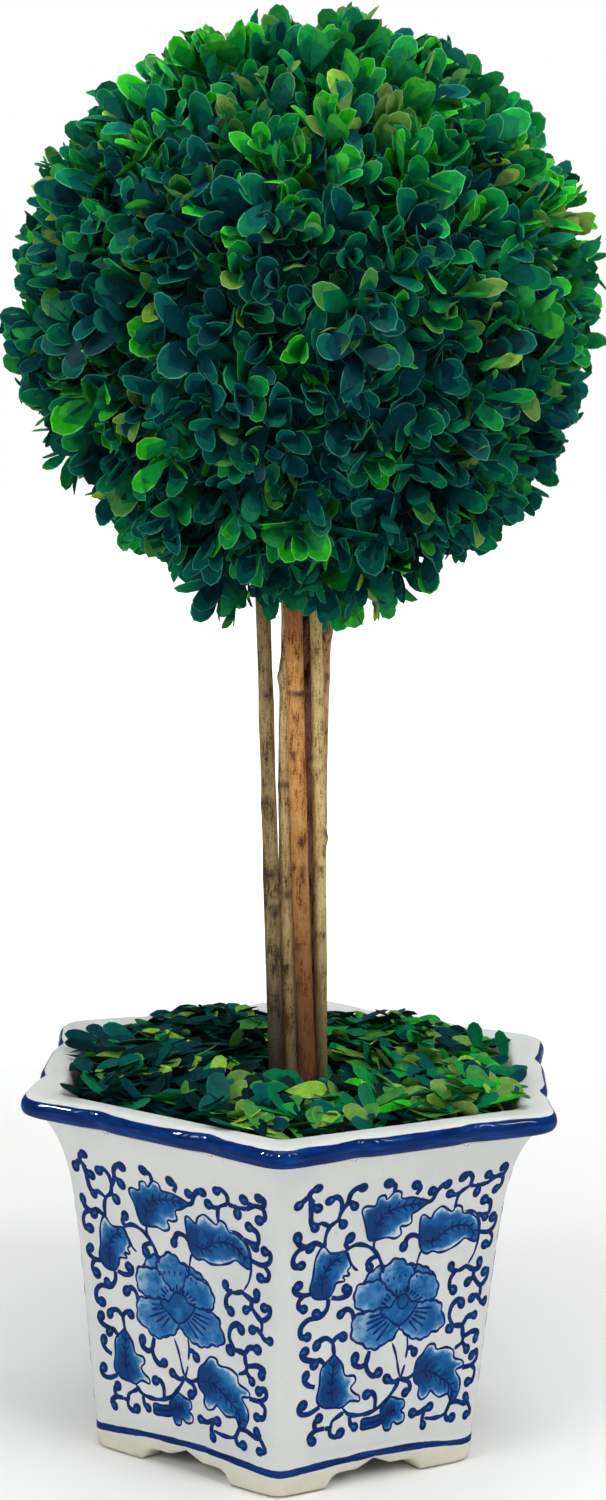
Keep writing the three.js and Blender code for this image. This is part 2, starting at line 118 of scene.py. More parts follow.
# Knots and buds on each stem: height, direction in degrees, height and width of the bump, how proud
KNOTS = {
    "stem_left": [(256, -80, 2.4, 0.55, 0.9), (219, -165, 2.4, 1.0, 0.45), (194, -95, 2.4, 1.6, 0.3)]
    + [(180, -60, 4.0, 0.7, 0.4), (150, -75, 2.5, 0.5, 0.3)],
    "stem_second": [(264, -165, 3.6, 0.7, 1.3), (225, -90, 1.8, 2.4, 0.4), (186, -80, 3.0, 0.8, 0.4)]
    + [(160, -110, 2.4, 0.6, 0.3)],
    "stem_centre": [(257, -50, 1.8, 1.6, 0.35), (206, -70, 2.8, 0.5, 0.6), (194, -75, 4.5, 0.4, 0.15)]
    + [(169, -125, 2.6, 0.6, 0.45), (236, -110, 2.0, 0.4, 0.25)],
    "stem_right": [(271, -85, 2.0, 0.45, 0.4), (234, -160, 2.6, 1.0, 1.6), (208, -25, 2.6, 0.8, 1.4)]
    + [(196, -80, 1.6, 0.4, 0.25), (172, -60, 2.2, 0.4, 0.3)],
    "stem_back": [(262, -90, 3.0, 0.6, 0.3)],
    "stem_back_right": [(280, -30, 4.5, 0.9, 1.2), (262, -50, 2.4, 0.5, 0.4)],
}

# Camera, worked out from the pot's corners and the ball
CAMERA_PLACE = (37.5, -846.9, 356.7)
CAMERA_LENS = 59.88
CAMERA_DOWN = 0.1393
CAMERA_TURN = math.radians(2.5)
CAMERA_ROLL = 0.0205
SENSOR = 36
WHITE = (1.0, 1.0, 1.0, 1.0)

# Lamps, in metres: name, place, size, power
LEFT, LEFT_FAR = (-0.82, -1.06, 1.05), (-1.06, -0.82, 1.05)
RIGHT, RIGHT_FAR = (0.82, -0.88, 1.15), (1.06, -0.62, 1.15)
LAMPS = [
    ("window_left", LEFT, (0.12, 0.6), 3.6),
    ("window_left_far", LEFT_FAR, (0.12, 0.6), 3.4),
    ("window_right", RIGHT, (0.12, 0.55), 3.8),
    ("window_right_far", RIGHT_FAR, (0.12, 0.55), 3.6),
    ("sky_panel", (0.1, -0.1, 1.6), (1.2, 1.2), 16),
    ("back_panel", (-0.4, 1.2, 1.0), (1.0, 0.8), 2.5),
]
# Small bright panes that show as glints on the glaze and give no other light
GLINTS = {"left": LEFT, "left_far": LEFT_FAR, "left_side": (-1.25, -0.58, 1.1)}
GLINTS |= {"front": (-0.1, -1.35, 1.4), "right": RIGHT, "right_far": RIGHT_FAR}
LAMPS += [(f"gloss_{name}", place, (0.07, 0.3), 42) for name, place in GLINTS.items()]
LAMP_AIM = Vector((0, 0, 0.25))

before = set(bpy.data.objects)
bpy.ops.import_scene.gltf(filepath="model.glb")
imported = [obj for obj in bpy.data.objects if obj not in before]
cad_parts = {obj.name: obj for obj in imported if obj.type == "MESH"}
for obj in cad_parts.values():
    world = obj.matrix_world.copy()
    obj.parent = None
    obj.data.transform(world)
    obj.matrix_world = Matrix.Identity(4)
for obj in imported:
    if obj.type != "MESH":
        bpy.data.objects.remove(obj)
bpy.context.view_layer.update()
scene = bpy.context.scene


def srgb(red, green, blue):
    """A colour given as 0 to 255 on screen, as Blender's linear colour."""
    parts = [part / 255 for part in (red, green, blue)]
    return tuple(p / 12.92 if p <= 0.04045 else ((p + 0.055) / 1.055) ** 2.4 for p in parts) + (1.0,)


def toned(colour, factor):
    """A linear colour made darker or paler."""
    return tuple(min(1, part * factor) for part in colour[:3]) + (1.0,)


def polar(radius, angle, z):
    """Points at a distance from the middle, in a direction and at a height."""
    return np.stack([radius * np.cos(angle), radius * np.sin(angle), np.broadcast_to(z, angle.shape)], 1)


def unit(vectors):
    return vectors / np.linalg.norm(vectors, axis=-1, keepdims=True)


def smooth_step(value, low, high):
    x = np.clip((value - low) / (high - low), 0, 1)
    return x * x * (3 - 2 * x)


class Seeded:
    """The same run of numbers from 0 to 1 that the solids are grown with."""

    def __init__(self, seed):
        self.state = seed

    def __call__(self):
        self.state = (self.state + 0x6D2B79F5) & 0xFFFFFFFF
        mixed = ((self.state ^ (self.state >> 15)) * (self.state | 1)) & 0xFFFFFFFF
        mixed ^= (mixed + ((mixed ^ (mixed >> 7)) * (mixed | 61))) & 0xFFFFFFFF
        return ((mixed ^ (mixed >> 14)) & 0xFFFFFFFF) / 4294967296


class Finish:
    """A material whose colour, gloss and relief are worked out by nodes from where a point lies."""

    def __init__(self, name, **values):
        self.material = bpy.data.materials.new(name)
        self.material.use_nodes = True
        self.nodes = self.material.node_tree.nodes
        self.links = self.material.node_tree.links
        self.shader = self.nodes["Principled BSDF"]
        for socket, value in values.items():
            self.shader.inputs[socket.replace("_", " ")].default_value = value
        self.place = self.nodes.new("ShaderNodeTexCoord").outputs["Object"]

    def add(self, kind, inputs, output=0, **settings):
        node = self.nodes.new(kind)
        for name, value in settings.items():
            setattr(node, name, value)
        for key, value in inputs.items():
            if isinstance(value, bpy.types.NodeSocket):
                self.links.new(value, node.inputs[key])
            else:
                node.inputs[key].default_value = value
        return node.outputs[output]

    def pattern(self, kind, scale, stretch, **inputs):
        place = self.add("ShaderNodeMapping", {"Vector": self.place, "Scale": stretch})
        return self.add(kind, {"Vector": place, "Scale": scale} | inputs)

    def noise(self, scale, detail=3.0, rough=0.55, stretch=(1, 1, 1), bend=0.0):
        inputs = {"Detail": detail, "Roughness": rough, "Distortion": bend}
        return self.pattern("ShaderNodeTexNoise", scale, stretch, **inputs)

    def height(self):
        return self.add("ShaderNodeSeparateXYZ", {"Vector": self.place}, output="Z")

    def attribute(self, name):
        return self.add("ShaderNodeAttribute", {}, output="Fac", attribute_name=name)

    def sum(self, operation, first, second=0.0, third=0.0):
        return self.add("ShaderNodeMath", {0: first, 1: second, 2: third}, operation=operation)

    def between(self, value, low, high, start=0.0, end=1.0):
        inputs = {"Value": value, 1: low, 2: high, 3: start, 4: end}
        return self.add("ShaderNodeMapRange", inputs, interpolation_type="SMOOTHSTEP")

    def mix(self, factor, first, second):
        return self.add("ShaderNodeMix", {0: factor, 6: first, 7: second}, output=2, data_type="RGBA")

    def ramp(self, value, stops):
        node = self.nodes.new("ShaderNodeValToRGB")
        self.links.new(value, node.inputs[0])
        while len(node.color_ramp.elements) < len(stops):
            node.color_ramp.elements.new(0.5)
        for element, (place, colour) in zip(node.color_ramp.elements, stops):
            element.position = place
            element.color = colour
        return node.outputs[0]

    def set(self, socket, value):
        self.links.new(value, self.shader.inputs[socket])

    def two_tone(self, scale, low, high, detail=3.0):
        """Clouds of two tones as the base colour; the clouds are also given back."""
        clouds = self.noise(scale, detail)
        self.set("Base Color", self.ramp(clouds, [(0.3, low), (0.7, high)]))
        return clouds

    def relief(self, height, depth, strength=1.0):
        bumped = self.add("ShaderNodeBump", {"Height": height, "Distance": depth, "Strength": strength})
        self.set("Normal", bumped)


def put(name, data):
    """Places something in the scene."""
    placed = bpy.data.objects.new(name, data)
    scene.collection.objects.link(placed)
    return placed


def piece_from(name, points, faces, finishes, face_finish=None):
    """A joined mesh piece from points in millimetres."""
    mesh = bpy.data.meshes.new(name)
    mesh.from_pydata((np.asarray(points, float).reshape(-1, 3) * MM).tolist(), [], faces)
    for finish in finishes:
        mesh.materials.append(finish.material)
    if face_finish is not None:
        mesh.polygons.foreach_set("material_index", np.asarray(face_finish, np.int32))
    mesh.shade_smooth()
    mesh.update()
    return put(name, mesh)


def mark_points(piece, name, values):
    """Keeps a value on each point of a piece, for its finish to read."""
    layer = piece.data.attributes.new(name, "FLOAT", "POINT")
    layer.data.foreach_set("value", np.ascontiguousarray(values, np.float32))


def face_outward(piece, crease):
    """Turns every face of a piece to the outside, and keeps edges sharper than the crease crisp."""
    bpy.ops.object.select_all(action="DESELECT")
    bpy.context.view_layer.objects.active = piece
    piece.select_set(True)
    bpy.ops.object.mode_set(mode="EDIT")
    bpy.ops.mesh.select_all(action="SELECT")
    bpy.ops.mesh.normals_make_consistent(inside=False)
    bpy.ops.mesh.select_mode(type="EDGE")
    bpy.ops.mesh.select_all(action="DESELECT")
    bpy.ops.mesh.edges_select_sharp(sharpness=math.radians(crease))
    bpy.ops.mesh.mark_sharp()
    bpy.ops.object.mode_set(mode="OBJECT")


def keep(piece, slot, *nodes):
    """Puts a finished piece on the plant's one body, in place of the solids it stands for."""
    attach(piece, "root")
    if nodes:
        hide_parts(*nodes)


# Camera, light and floor


def set_up_studio():
    camera = put("camera", bpy.data.cameras.new("camera"))
    camera.data.lens = CAMERA_LENS
    camera.data.sensor_width = SENSOR
    camera.data.clip_end = 100
    place = Matrix.Translation(Vector(CAMERA_PLACE) * MM)
    turn = Matrix.Rotation(CAMERA_TURN, 4, "Z")
    tilt = Matrix.Rotation(math.pi / 2 - CAMERA_DOWN, 4, "X")
    camera.matrix_world = place @ turn @ tilt @ Matrix.Rotation(CAMERA_ROLL, 4, "Z")
    scene.camera = camera

    for name, place, size, power in LAMPS:
        light = bpy.data.lights.new(name, "AREA")
        light.shape = "RECTANGLE"
        light.size, light.size_y = size
        light.energy = power
        lamp = put(name, light)
        lamp.location = place
        lamp.rotation_euler = (LAMP_AIM - Vector(place)).to_track_quat("-Z", "Y").to_euler()
        lamp.visible_diffuse = not name.startswith("gloss")

    world = bpy.data.worlds.new("studio")
    world.use_nodes = True
    nodes, links = world.node_tree.nodes, world.node_tree.links
    glow, backdrop = nodes["Background"], nodes.new("ShaderNodeBackground")
    glow.inputs["Color"].default_value = (0.97, 0.98, 0.98, 1.0)
    glow.inputs["Strength"].default_value = 0.33
    backdrop.inputs["Color"].default_value = WHITE
    choose = nodes.new("ShaderNodeMixShader")
    links.new(nodes.new("ShaderNodeLightPath").outputs["Is Camera Ray"], choose.inputs[0])
    links.new(glow.outputs[0], choose.inputs[1])
    links.new(backdrop.outputs[0], choose.inputs[2])
    links.new(choose.outputs[0], nodes["World Output"].inputs["Surface"])
    scene.world = world
    scene.view_settings.view_transform = "Standard"

    bpy.ops.object.select_all(action="DESELECT")
    bpy.ops.mesh.primitive_circle_add(vertices=96, radius=9.0, fill_type="TRIFAN")
    floor = bpy.context.object
    floor.name = "studio_floor"
    pale = Finish("pale_floor", Roughness=0.75, Specular_IOR_Level=0.0, Emission_Color=WHITE)
    pale.two_tone(2.0, srgb(236, 237, 236), srgb(242, 242, 241))
    away = pale.add("ShaderNodeVectorMath", {0: pale.place}, output="Value", operation="LENGTH")
    seen = pale.add("ShaderNodeLightPath", {}, output="Is Camera Ray")
    pale.set("Emission Strength", pale.sum("MULTIPLY", seen, pale.between(away, 0.3, 1.3)))
    floor.data.materials.append(pale.material)


# Pot shape, by the same rules as its solid


def hexagon_radius(angle, apothem, rounding):
    total = sum(np.maximum(0, np.cos(angle - k * SIDE_ANGLE)) ** rounding for k in range(SIDES))
    return apothem / total ** (1 / rounding)


def hexagon_reach(x, y):
    turns = [k * SIDE_ANGLE for k in range(SIDES)]
    return np.max([x * math.cos(turn) + y * math.sin(turn) for turn in turns], axis=0)


def bump(distance, width):
    return np.exp(-((distance / width) ** 2))


def rim_edge(t):
    along = np.abs(t)
    return EAR_OUT * bump(0.5 - along, EAR_WIDTH) - NOTCH_DEPTH * bump(along - NOTCH_PLACE, NOTCH_WIDTH)


def apron_height(t):
    along = np.abs(t)
    down = np.clip((along - APRON_LOBE_END) / (APRON_FOOT - APRON_LOBE_END), 0, 1)
    lobe = APRON_LOBE * np.sqrt(1 - down**2)
    peak = (APRON_PEAK - APRON_LOBE) * np.clip(1 - along / APRON_CUSP, 0, 1)
    return lobe + peak


def wall_apothem(z):
    return WALL_START + WALL_DRAFT * z + FLARE_OUT * np.exp((z - FLARE_HEIGHT) / FLARE_REACH)


def inner_apothem(z):
    inside = INSIDE_APOTHEM + INSIDE_DRAFT * (z - INSIDE_HEIGHT)
    return np.minimum(wall_apothem(z) - WALL_THICKNESS, inside)


def side_stations(count):
    """Directions round the pot, each with its place along its own side."""
    t = np.tile(-0.5 + np.arange(count) / count, SIDES)
    side = np.repeat(np.arange(SIDES), count)
    return t, side * SIDE_ANGLE + np.arctan(2 * t * HALF_SIDE)


def pot_rings():
    """Outlines of the pot from the middle of its underside round the rim to the middle of its floor."""
    t, angle = side_stations(STATIONS_PER_SIDE)
    apron = apron_height(t)
    rings = []

    def ring(apothem, z, rounding=WALL_ROUNDING, edge=0.0):
        rings.append(polar(hexagon_radius(angle, apothem, rounding) + edge * rim_edge(t), angle, z))

    for apothem in (8, 30, FOOT_INNER - 3):
        ring(apothem, FLOOR_UNDERSIDE)
    ring(FOOT_INNER - 1, FLOOR_UNDERSIDE - 0.4)
    ring(FOOT_INNER - 0.3, apron + 0.35 * (FLOOR_UNDERSIDE - apron))
    ring(FOOT_INNER, apron + 0.4)
    ring(FOOT_INNER + 0.6, apron)
    ring(FOOT_OUTER - 0.3, apron)
    heel = wall_apothem(FOOT_RISE) - FOOT_OUTER
    for turn in np.radians([15, 40, 65, 90]):
        ring(FOOT_OUTER + heel * math.sin(turn), apron + FOOT_RISE * (1 - math.cos(turn)))
    for step in (0.3, 0.6, 0.85):
        ring(wall_apothem(8.0), apron + FOOT_RISE + (14 - apron - FOOT_RISE) * step)
    for z in [*range(14, 86, 6), *range(86, 110, 3), 110.5, 112, 113.5, 115, 116.5]:
        ring(wall_apothem(z), z)
    for z, share in ((117.6, 0.35), (118.4, 0.75)):
        ring(wall_apothem(z), z, WALL_ROUNDING + (RIM_ROUNDING - WALL_ROUNDING) * share, 0.35 * share)
    for degrees in range(-80, 91, 10):
        turn = math.radians(degrees)
        z = POT_HEIGHT - LIP_RADIUS + LIP_RADIUS * math.sin(turn)
        share = min(1, 0.55 + 0.45 * (degrees + 80) / 40)
        ring(LIP_APOTHEM + LIP_RADIUS * math.cos(turn), z, RIM_ROUNDING, share)
    lip_top = rings[-1]
    mouth = polar(hexagon_radius(angle, OPENING, OPENING_ROUNDING), angle, POT_HEIGHT - 0.5)
    for share in (0.2, 0.4, 0.6, 0.8):
        rings.append(lip_top + (mouth - lip_top) * share)
    for inward, down in ((0, 0.5), (0.75, 0.75), (1.35, 1.3), (1.75, 2.1), (2.1, 3.4)):
        ring(OPENING - inward, POT_HEIGHT - down, OPENING_ROUNDING)
    for z in (119, 115, 110, 90, 60, 23):
        ring(inner_apothem(z), z, OPENING_ROUNDING)
    corner = inner_apothem(FLOOR_TOP)
    ring(corner - FLOOR_CURVE * 0.3, FLOOR_TOP + 2, OPENING_ROUNDING)
    for apothem in (corner - FLOOR_CURVE, 30, 8):
        ring(apothem, FLOOR_TOP, OPENING_ROUNDING)
    return rings


def pull_up(name, rings):
    """Pulls an outline up through rings by extruding it, and closes both ends to a point."""

    def bearing(point):
        return math.atan2(point[1], point[0]) % (2 * math.pi)

    def close_end():
        bpy.ops.mesh.extrude_region_move()
        bpy.ops.mesh.merge(type="CENTER")

    bpy.ops.object.select_all(action="DESELECT")
    bpy.ops.mesh.primitive_circle_add(vertices=len(rings[0]), radius=FOOT_INNER * MM, fill_type="NOTHING")
    piece = bpy.context.object
    piece.name = name
    bpy.ops.object.mode_set(mode="EDIT")
    bpy.ops.mesh.select_mode(type="VERT")
    for index, ring in enumerate(rings):
        if index:
            bpy.ops.mesh.extrude_region_move()
        sketch = bmesh.from_edit_mesh(piece.data)
        chosen = sorted((v for v in sketch.verts if v.select), key=lambda v: bearing(v.co))
        for vertex, target in zip(chosen, sorted(ring.tolist(), key=bearing)):
            vertex.co = Vector(target) * MM
        bmesh.update_edit_mesh(piece.data)
    close_end()
    bpy.ops.mesh.select_all(action="DESELECT")
    sketch = bmesh.from_edit_mesh(piece.data)
    for edge in [edge for edge in sketch.edges if edge.is_boundary]:
        edge.select_set(True)
    bmesh.update_edit_mesh(piece.data)
    close_end()
    bpy.ops.mesh.select_all(action="SELECT")
    bpy.ops.mesh.normals_make_consistent(inside=False)
    bpy.ops.object.mode_set(mode="OBJECT")
    bpy.ops.object.shade_smooth()
    return piece


# Blue painting on the pot

COBALT = srgb(0, 43, 110)
COBALT_DARK = srgb(0, 24, 76)
COBALT_LIGHT = srgb(8, 74, 144)
GLAZED = {"Roughness": 0.35, "Specular_IOR_Level": 0.0}
GLAZED |= {"Coat_Weight": 0.3, "Coat_Roughness": 0.03, "Coat_IOR": 1.45}
GLAZE = srgb(220, 222, 217)
GLAZE_COOL = srgb(213, 217, 214)
# Rim band: its middle in degrees round the lip, half its width, and the value of points far from it
BAND_MIDDLE_TURN, BAND_HALF, BAND_FAR = -13, 4.15, 20.0
STRIPE_HALF, STRIPE_HEIGHT, STRIPE_DIP = 1.25, 10.2, 1.9


def paint_places(pot):
    """Keeps on each point how far it is from the middle of the rim band and of the foot stripe."""
    places = np.empty(len(pot.data.vertices) * 3)
    pot.data.vertices.foreach_get("co", places)
    x, y, z = (places.reshape(-1, 3) / MM).T
    angle, radius = np.arctan2(y, x), np.hypot(x, y)
    t = np.tan(angle - np.round(angle / SIDE_ANGLE) * SIDE_ANGLE) / (2 * HALF_SIDE)
    lip_centre = hexagon_radius(angle, LIP_APOTHEM, RIM_ROUNDING) + rim_edge(t)
    round_lip = np.degrees(np.arctan2(z - POT_HEIGHT + LIP_RADIUS, radius - lip_centre))
    band = np.radians(round_lip - BAND_MIDDLE_TURN) * LIP_RADIUS
    below = z < POT_HEIGHT - 2 * LIP_RADIUS + 0.15
    band = np.where(below, z - POT_HEIGHT - BAND_FAR, band)
    mark_points(pot, "rim_band", np.where(radius < lip_centre - 0.2, BAND_FAR, band))
    stripe = STRIPE_HEIGHT - STRIPE_DIP * bump(np.abs(t) - 0.5, 0.2) + 0.5 * np.sin(3 * angle + 1.0)
    mark_points(pot, "foot_stripe", z - stripe)


def glazed_pot_finish():
    glaze = Finish("painted_glaze", **GLAZED)
    white = glaze.ramp(glaze.noise(34, detail=4), [(0.35, GLAZE_COOL), (0.65, GLAZE)])
    speck = glaze.between(glaze.noise(900, detail=1), 0.73, 0.78)
    white = glaze.mix(glaze.sum("MULTIPLY", speck, 0.35), white, srgb(150, 140, 120))

    brush = glaze.noise(60, detail=4, stretch=(1, 1, 5))
    streaks = glaze.noise(220, stretch=(0.4, 0.4, 3))
    cobalt = glaze.ramp(streaks, [(0.3, COBALT_DARK), (0.55, COBALT), (0.8, COBALT_LIGHT)])
    wander = glaze.between(brush, 0.2, 0.8, -0.45, 0.45)
    bands = []
    for name, half in (("rim_band", BAND_HALF), ("foot_stripe", STRIPE_HALF)):
        place = glaze.sum("ADD", glaze.sum("ABSOLUTE", glaze.attribute(name)), wander)
        bands.append(glaze.between(place, half - 0.12, half + 0.12, 1, 0))

    cream = glaze.ramp(glaze.noise(90), [(0.3, srgb(214, 208, 190)), (0.7, srgb(226, 222, 206))])
    low = glaze.between(glaze.attribute("foot_stripe"), -3.5, -0.5, 1, 0)
    bare = glaze.between(glaze.height(), 0.0002, 0.0012, 1, 0)
    white = glaze.mix(bare, glaze.mix(low, white, cream), srgb(190, 178, 155))
    glaze.set("Base Color", glaze.mix(glaze.sum("MAXIMUM", *bands), white, cobalt))
    lip = glaze.between(glaze.sum("ABSOLUTE", glaze.attribute("rim_band")), 3.4, 4.8, 1.3, 0)
    pitted = glaze.sum("MULTIPLY", glaze.noise(480, detail=1), lip)
    glaze.relief(glaze.sum("ADD", glaze.noise(120, detail=2), pitted), 0.0004, 0.5)
    return glaze


# The painting is laid out on a sheet as wide as a side, from just under the rim downwards
SHEET_WIDTH = 1100
SHEET_UNIT = 1 / 11
SHEET_TOP = 122
LINE_LIFT, WASH_LIFT, GLINT_LIFT, PAINT_DEPTH = 0.12, 0.04, 0.15, 0.12
PETAL_STEP = 0.016
SCROLL_FOOT, SCROLL_NECK = 9.5, 15.0
HEAD_SMALLEST, HEAD_LARGEST = 19.5, 23.0
BRUSH_STEP = 7
PAINT_SEED = 41
# How the painting is moved across, bulged, moved down and sloped on the two sides in the photo,
# and how far at most on the others
FRONT_SHIFTS = {4: (0, 0, 0, 0), 5: (25, 35, -10, -12)}
OTHER_SHIFT = 9
LINES, WASHES = "pot_brush_lines", "pot_brush_washes"

# Scrolls that end in a round head: points from the foot of each to its head
SCROLLS = [
    [(118, 215), (98, 188), (106, 168), (130, 158)],
    [(112, 232), (98, 190), (78, 200), (56, 218)],
    [(100, 192), (112, 222), (138, 241)],
    [(104, 215), (110, 258), (112, 292), (130, 317)],
    [(240, 262), (236, 228), (214, 206), (186, 217)],
    [(240, 262), (262, 238), (272, 200), (296, 180), (320, 181)],
    [(236, 275), (262, 240), (280, 240), (295, 254)],
    [(228, 300), (238, 306), (253, 321)],
    [(170, 396), (135, 378), (98, 388), (66, 374), (58, 347)],
    [(98, 388), (62, 400), (42, 430), (50, 458), (80, 459)],
    [(160, 388), (138, 383), (114, 397)],
    [(130, 575), (95, 577), (62, 564), (50, 545), (70, 536)],
    [(100, 576), (76, 594), (74, 618), (97, 630)],
    [(208, 606), (205, 640), (182, 664), (155, 656)],
    [(205, 645), (175, 672), (120, 674), (86, 700), (88, 734), (117, 739)],
    [(222, 604), (262, 611), (300, 602), (306, 580), (286, 577)],
    [(288, 424), (272, 402), (290, 380)],
    [(432, 468), (402, 472), (380, 490), (392, 508)],
    [(332, 704), (322, 672), (296, 658), (268, 674)],
    [(236, 776), (205, 757), (172, 764), (161, 778)],
    [(236, 776), (250, 762), (268, 756), (284, 762)],
    [(205, 862), (182, 842), (140, 834), (104, 822), (90, 800), (106, 794)],
    [(196, 852), (174, 836), (150, 850)],
    [(155, 938), (124, 926), (104, 905), (112, 888)],
    [(180, 1018), (130, 1036), (90, 1032), (80, 1010), (98, 1000)],
    [(205, 1106), (164, 1104), (158, 1078), (178, 1062)],
    [(205, 1106), (158, 1110), (130, 1132), (146, 1147)],
    [(232, 1106), (236, 1136), (262, 1148), (286, 1136)],
    [(330, 1078), (336, 1108), (357, 1122)],
    [(458, 1066), (458, 1022), (440, 998), (412, 1002)],
    [(416, 833), (405, 874), (376, 890), (342, 874), (346, 852)],
    [(416, 833), (402, 872), (410, 908), (438, 932), (468, 923)],
    [(612, 850), (632, 846), (653, 866)],
    [(582, 962), (550, 970), (514, 954)],
    [(632, 426), (602, 406), (566, 408), (548, 444)],
    [(596, 966), (632, 980), (642, 1006), (618, 1020)],
    [(466, 218), (462, 190), (432, 178)],
    [(572, 240), (586, 214), (562, 200)],
    [(632, 280), (658, 270), (672, 240), (694, 217), (718, 215)],
    [(674, 240), (662, 232), (646, 234)],
    [(840, 236), (840, 204), (814, 184), (790, 194)],
    [(788, 262), (768, 264), (742, 257)],
    [(872, 238), (886, 244), (886, 266)],
    [(975, 218), (945, 214), (921, 202)],
    [(930, 238), (975, 216), (1012, 212), (1018, 184), (994, 180)],
    [(975, 216), (1012, 222), (1020, 256), (992, 270)],
    [(915, 360), (945, 368), (967, 378)],
    [(950, 368), (984, 362), (980, 322), (940, 306)],
    [(945, 434), (1002, 442), (1040, 424), (1044, 394), (1016, 386)],
    [(1010, 440), (1038, 466), (1030, 494), (996, 492)],
    [(850, 574), (826, 572), (815, 554)],
    [(846, 574), (820, 602), (820, 634), (843, 650)],
    [(905, 566), (946, 584), (982, 578), (978, 556)],
    [(952, 582), (950, 612), (922, 629)],
    [(950, 612), (1000, 652), (1042, 630), (1046, 600), (1018, 602)],
    [(1002, 705), (985, 690), (958, 697)],
    [(1002, 700), (1024, 722), (1052, 723)],
    [(862, 792), (836, 752), (846, 710), (880, 692), (898, 708)],
    [(862, 792), (855, 812), (838, 800)],
    [(862, 792), (915, 796), (945, 768), (988, 767)],
    [(918, 798), (930, 840), (986, 830), (1024, 842), (1012, 862)],
    [(926, 862), (942, 878), (960, 896)],
    [(945, 966), (1002, 964), (1038, 942), (1030, 914), (998, 926)],
    [(1000, 964), (1032, 988), (1024, 1026), (988, 1030)],
    [(885, 1100), (930, 1098), (980, 1114), (1002, 1104), (986, 1088)],
    [(1000, 1108), (1022, 1134), (1034, 1158), (1002, 1164)],
    [(884, 1104), (868, 1138), (880, 1162), (910, 1160)],
    [(765, 1094), (742, 1096), (706, 1112), (668, 1108)],
    [(736, 1112), (750, 1100), (766, 1096)],
    [(738, 1108), (728, 1138), (736, 1166)],
]
# Plain stalks that join scrolls, leaves and blossom
STALKS = [
    [(118, 215), (108, 250), (112, 290), (128, 312), (158, 304), (194, 322)],
    [(178, 405), (180, 358), (196, 322), (228, 300), (240, 262)],
    [(270, 428), (325, 410), (388, 430), (430, 470), (452, 512), (462, 540)],
    [(205, 1106), (234, 1108), (246, 1082), (300, 1056)],
    [(290, 1038), (330, 1070), (400, 1078), (460, 1068), (512, 1042), (552, 1004), (584, 962)],
    [(582, 962), (622, 966), (668, 950)],
    [(788, 322), (786, 290), (796, 258), (840, 236)],
    [(840, 236), (876, 240), (932, 238)],
    [(905, 565), (950, 582), (952, 612), (1000, 652), (1008, 684), (1002, 706)],
    [(862, 792), (916, 796), (930, 842), (924, 866), (884, 884)],
    [(740, 1138), (800, 1146), (860, 1138), (886, 1100), (896, 1060)],
    [(910, 560), (872, 574), (846, 576)],
    [(236, 776), (240, 800), (246, 832)],
]
# Finer lines of the brush
HAIR_LINES = [
    [(530, 814), (554, 864), (572, 925), (584, 958)],
    [(608, 798), (614, 842), (608, 886)],
    [(606, 908), (598, 930), (587, 958)],
    [(280, 430), (298, 470), (318, 500), (340, 514)],
    [(838, 338), (888, 344), (918, 364), (942, 402), (950, 450), (938, 515), (906, 562)],
    [(640, 470), (630, 500), (620, 548)],
    [(405, 400), (402, 420), (408, 436)],
]
# Leaves: outline, the line of its middle vein, and the dark end
LEAVES = [
    (
        [(404, 402), (372, 392), (352, 330), (332, 282), (345, 262), (388, 264), (398, 232), (425, 226)]
        + [(438, 244), (468, 216), (498, 222), (508, 248), (560, 250), (602, 262), (640, 277), (600, 304)]
        + [(568, 318), (572, 350), (548, 362), (520, 362), (528, 392), (500, 406), (460, 398)],
        [(396, 384), (430, 310), (510, 282), (622, 278)],
        (388, 350),
    ),
    (
        [(640, 468), (622, 420), (616, 342), (632, 328), (668, 348), (682, 322), (715, 304), (745, 318)]
        + [(776, 332), (790, 312), (820, 318), (838, 346), (880, 352), (925, 385), (946, 440), (938, 470)]
        + [(905, 462), (870, 450), (840, 466), (790, 484), (740, 490), (702, 480), (672, 486)],
        [(648, 430), (700, 440), (780, 398), (870, 400), (934, 452)],
        (644, 398),
    ),
    (
        [(205, 602), (150, 598), (122, 560), (134, 510), (140, 450), (158, 410), (178, 400), (205, 428)]
        + [(240, 432), (270, 430), (290, 460), (302, 492), (288, 508), (300, 526), (268, 528), (280, 546)]
        + [(240, 550), (230, 576)],
        [(178, 590), (180, 520), (212, 470), (262, 452)],
        (165, 572),
    ),
    (
        [(290, 1036), (250, 1030), (200, 1024), (166, 990), (178, 930), (185, 872), (225, 840)]
        + [(246, 828), (284, 868), (300, 912), (344, 920), (352, 942), (330, 964), (346, 986)]
        + [(374, 1002), (374, 1022), (330, 1016)],
        [(246, 1016), (236, 960), (240, 900), (246, 842)],
        (214, 985),
    ),
    (
        [(660, 955), (668, 906), (700, 880), (728, 850), (764, 850), (780, 872), (836, 872), (880, 890)]
        + [(888, 920), (940, 938), (946, 960), (905, 972), (936, 1012), (940, 1050), (920, 1085)]
        + [(892, 1096), (868, 1060), (820, 1065), (790, 1050), (764, 1032), (742, 1052), (712, 1060)]
        + [(692, 1038), (694, 1006), (668, 985)],
        [(676, 956), (740, 950), (820, 990), (880, 1030), (906, 1084)],
        (690, 945),
    ),
    (
        [(490, 1072), (520, 1040), (545, 1028), (580, 1040), (612, 1048), (618, 1074), (600, 1090)]
        + [(622, 1106), (618, 1132), (585, 1140), (560, 1128), (548, 1155), (520, 1156), (505, 1130)]
        + [(496, 1100)],
        [(500, 1100), (530, 1090), (572, 1080)],
        (496, 1098),
    ),
    (
        [(390, 1120), (396, 1098), (440, 1096), (484, 1092), (520, 1106), (494, 1128), (440, 1138)]
        + [(396, 1137)],
        [(396, 1118), (440, 1116), (500, 1108)],
        (450, 1116),
    ),
]
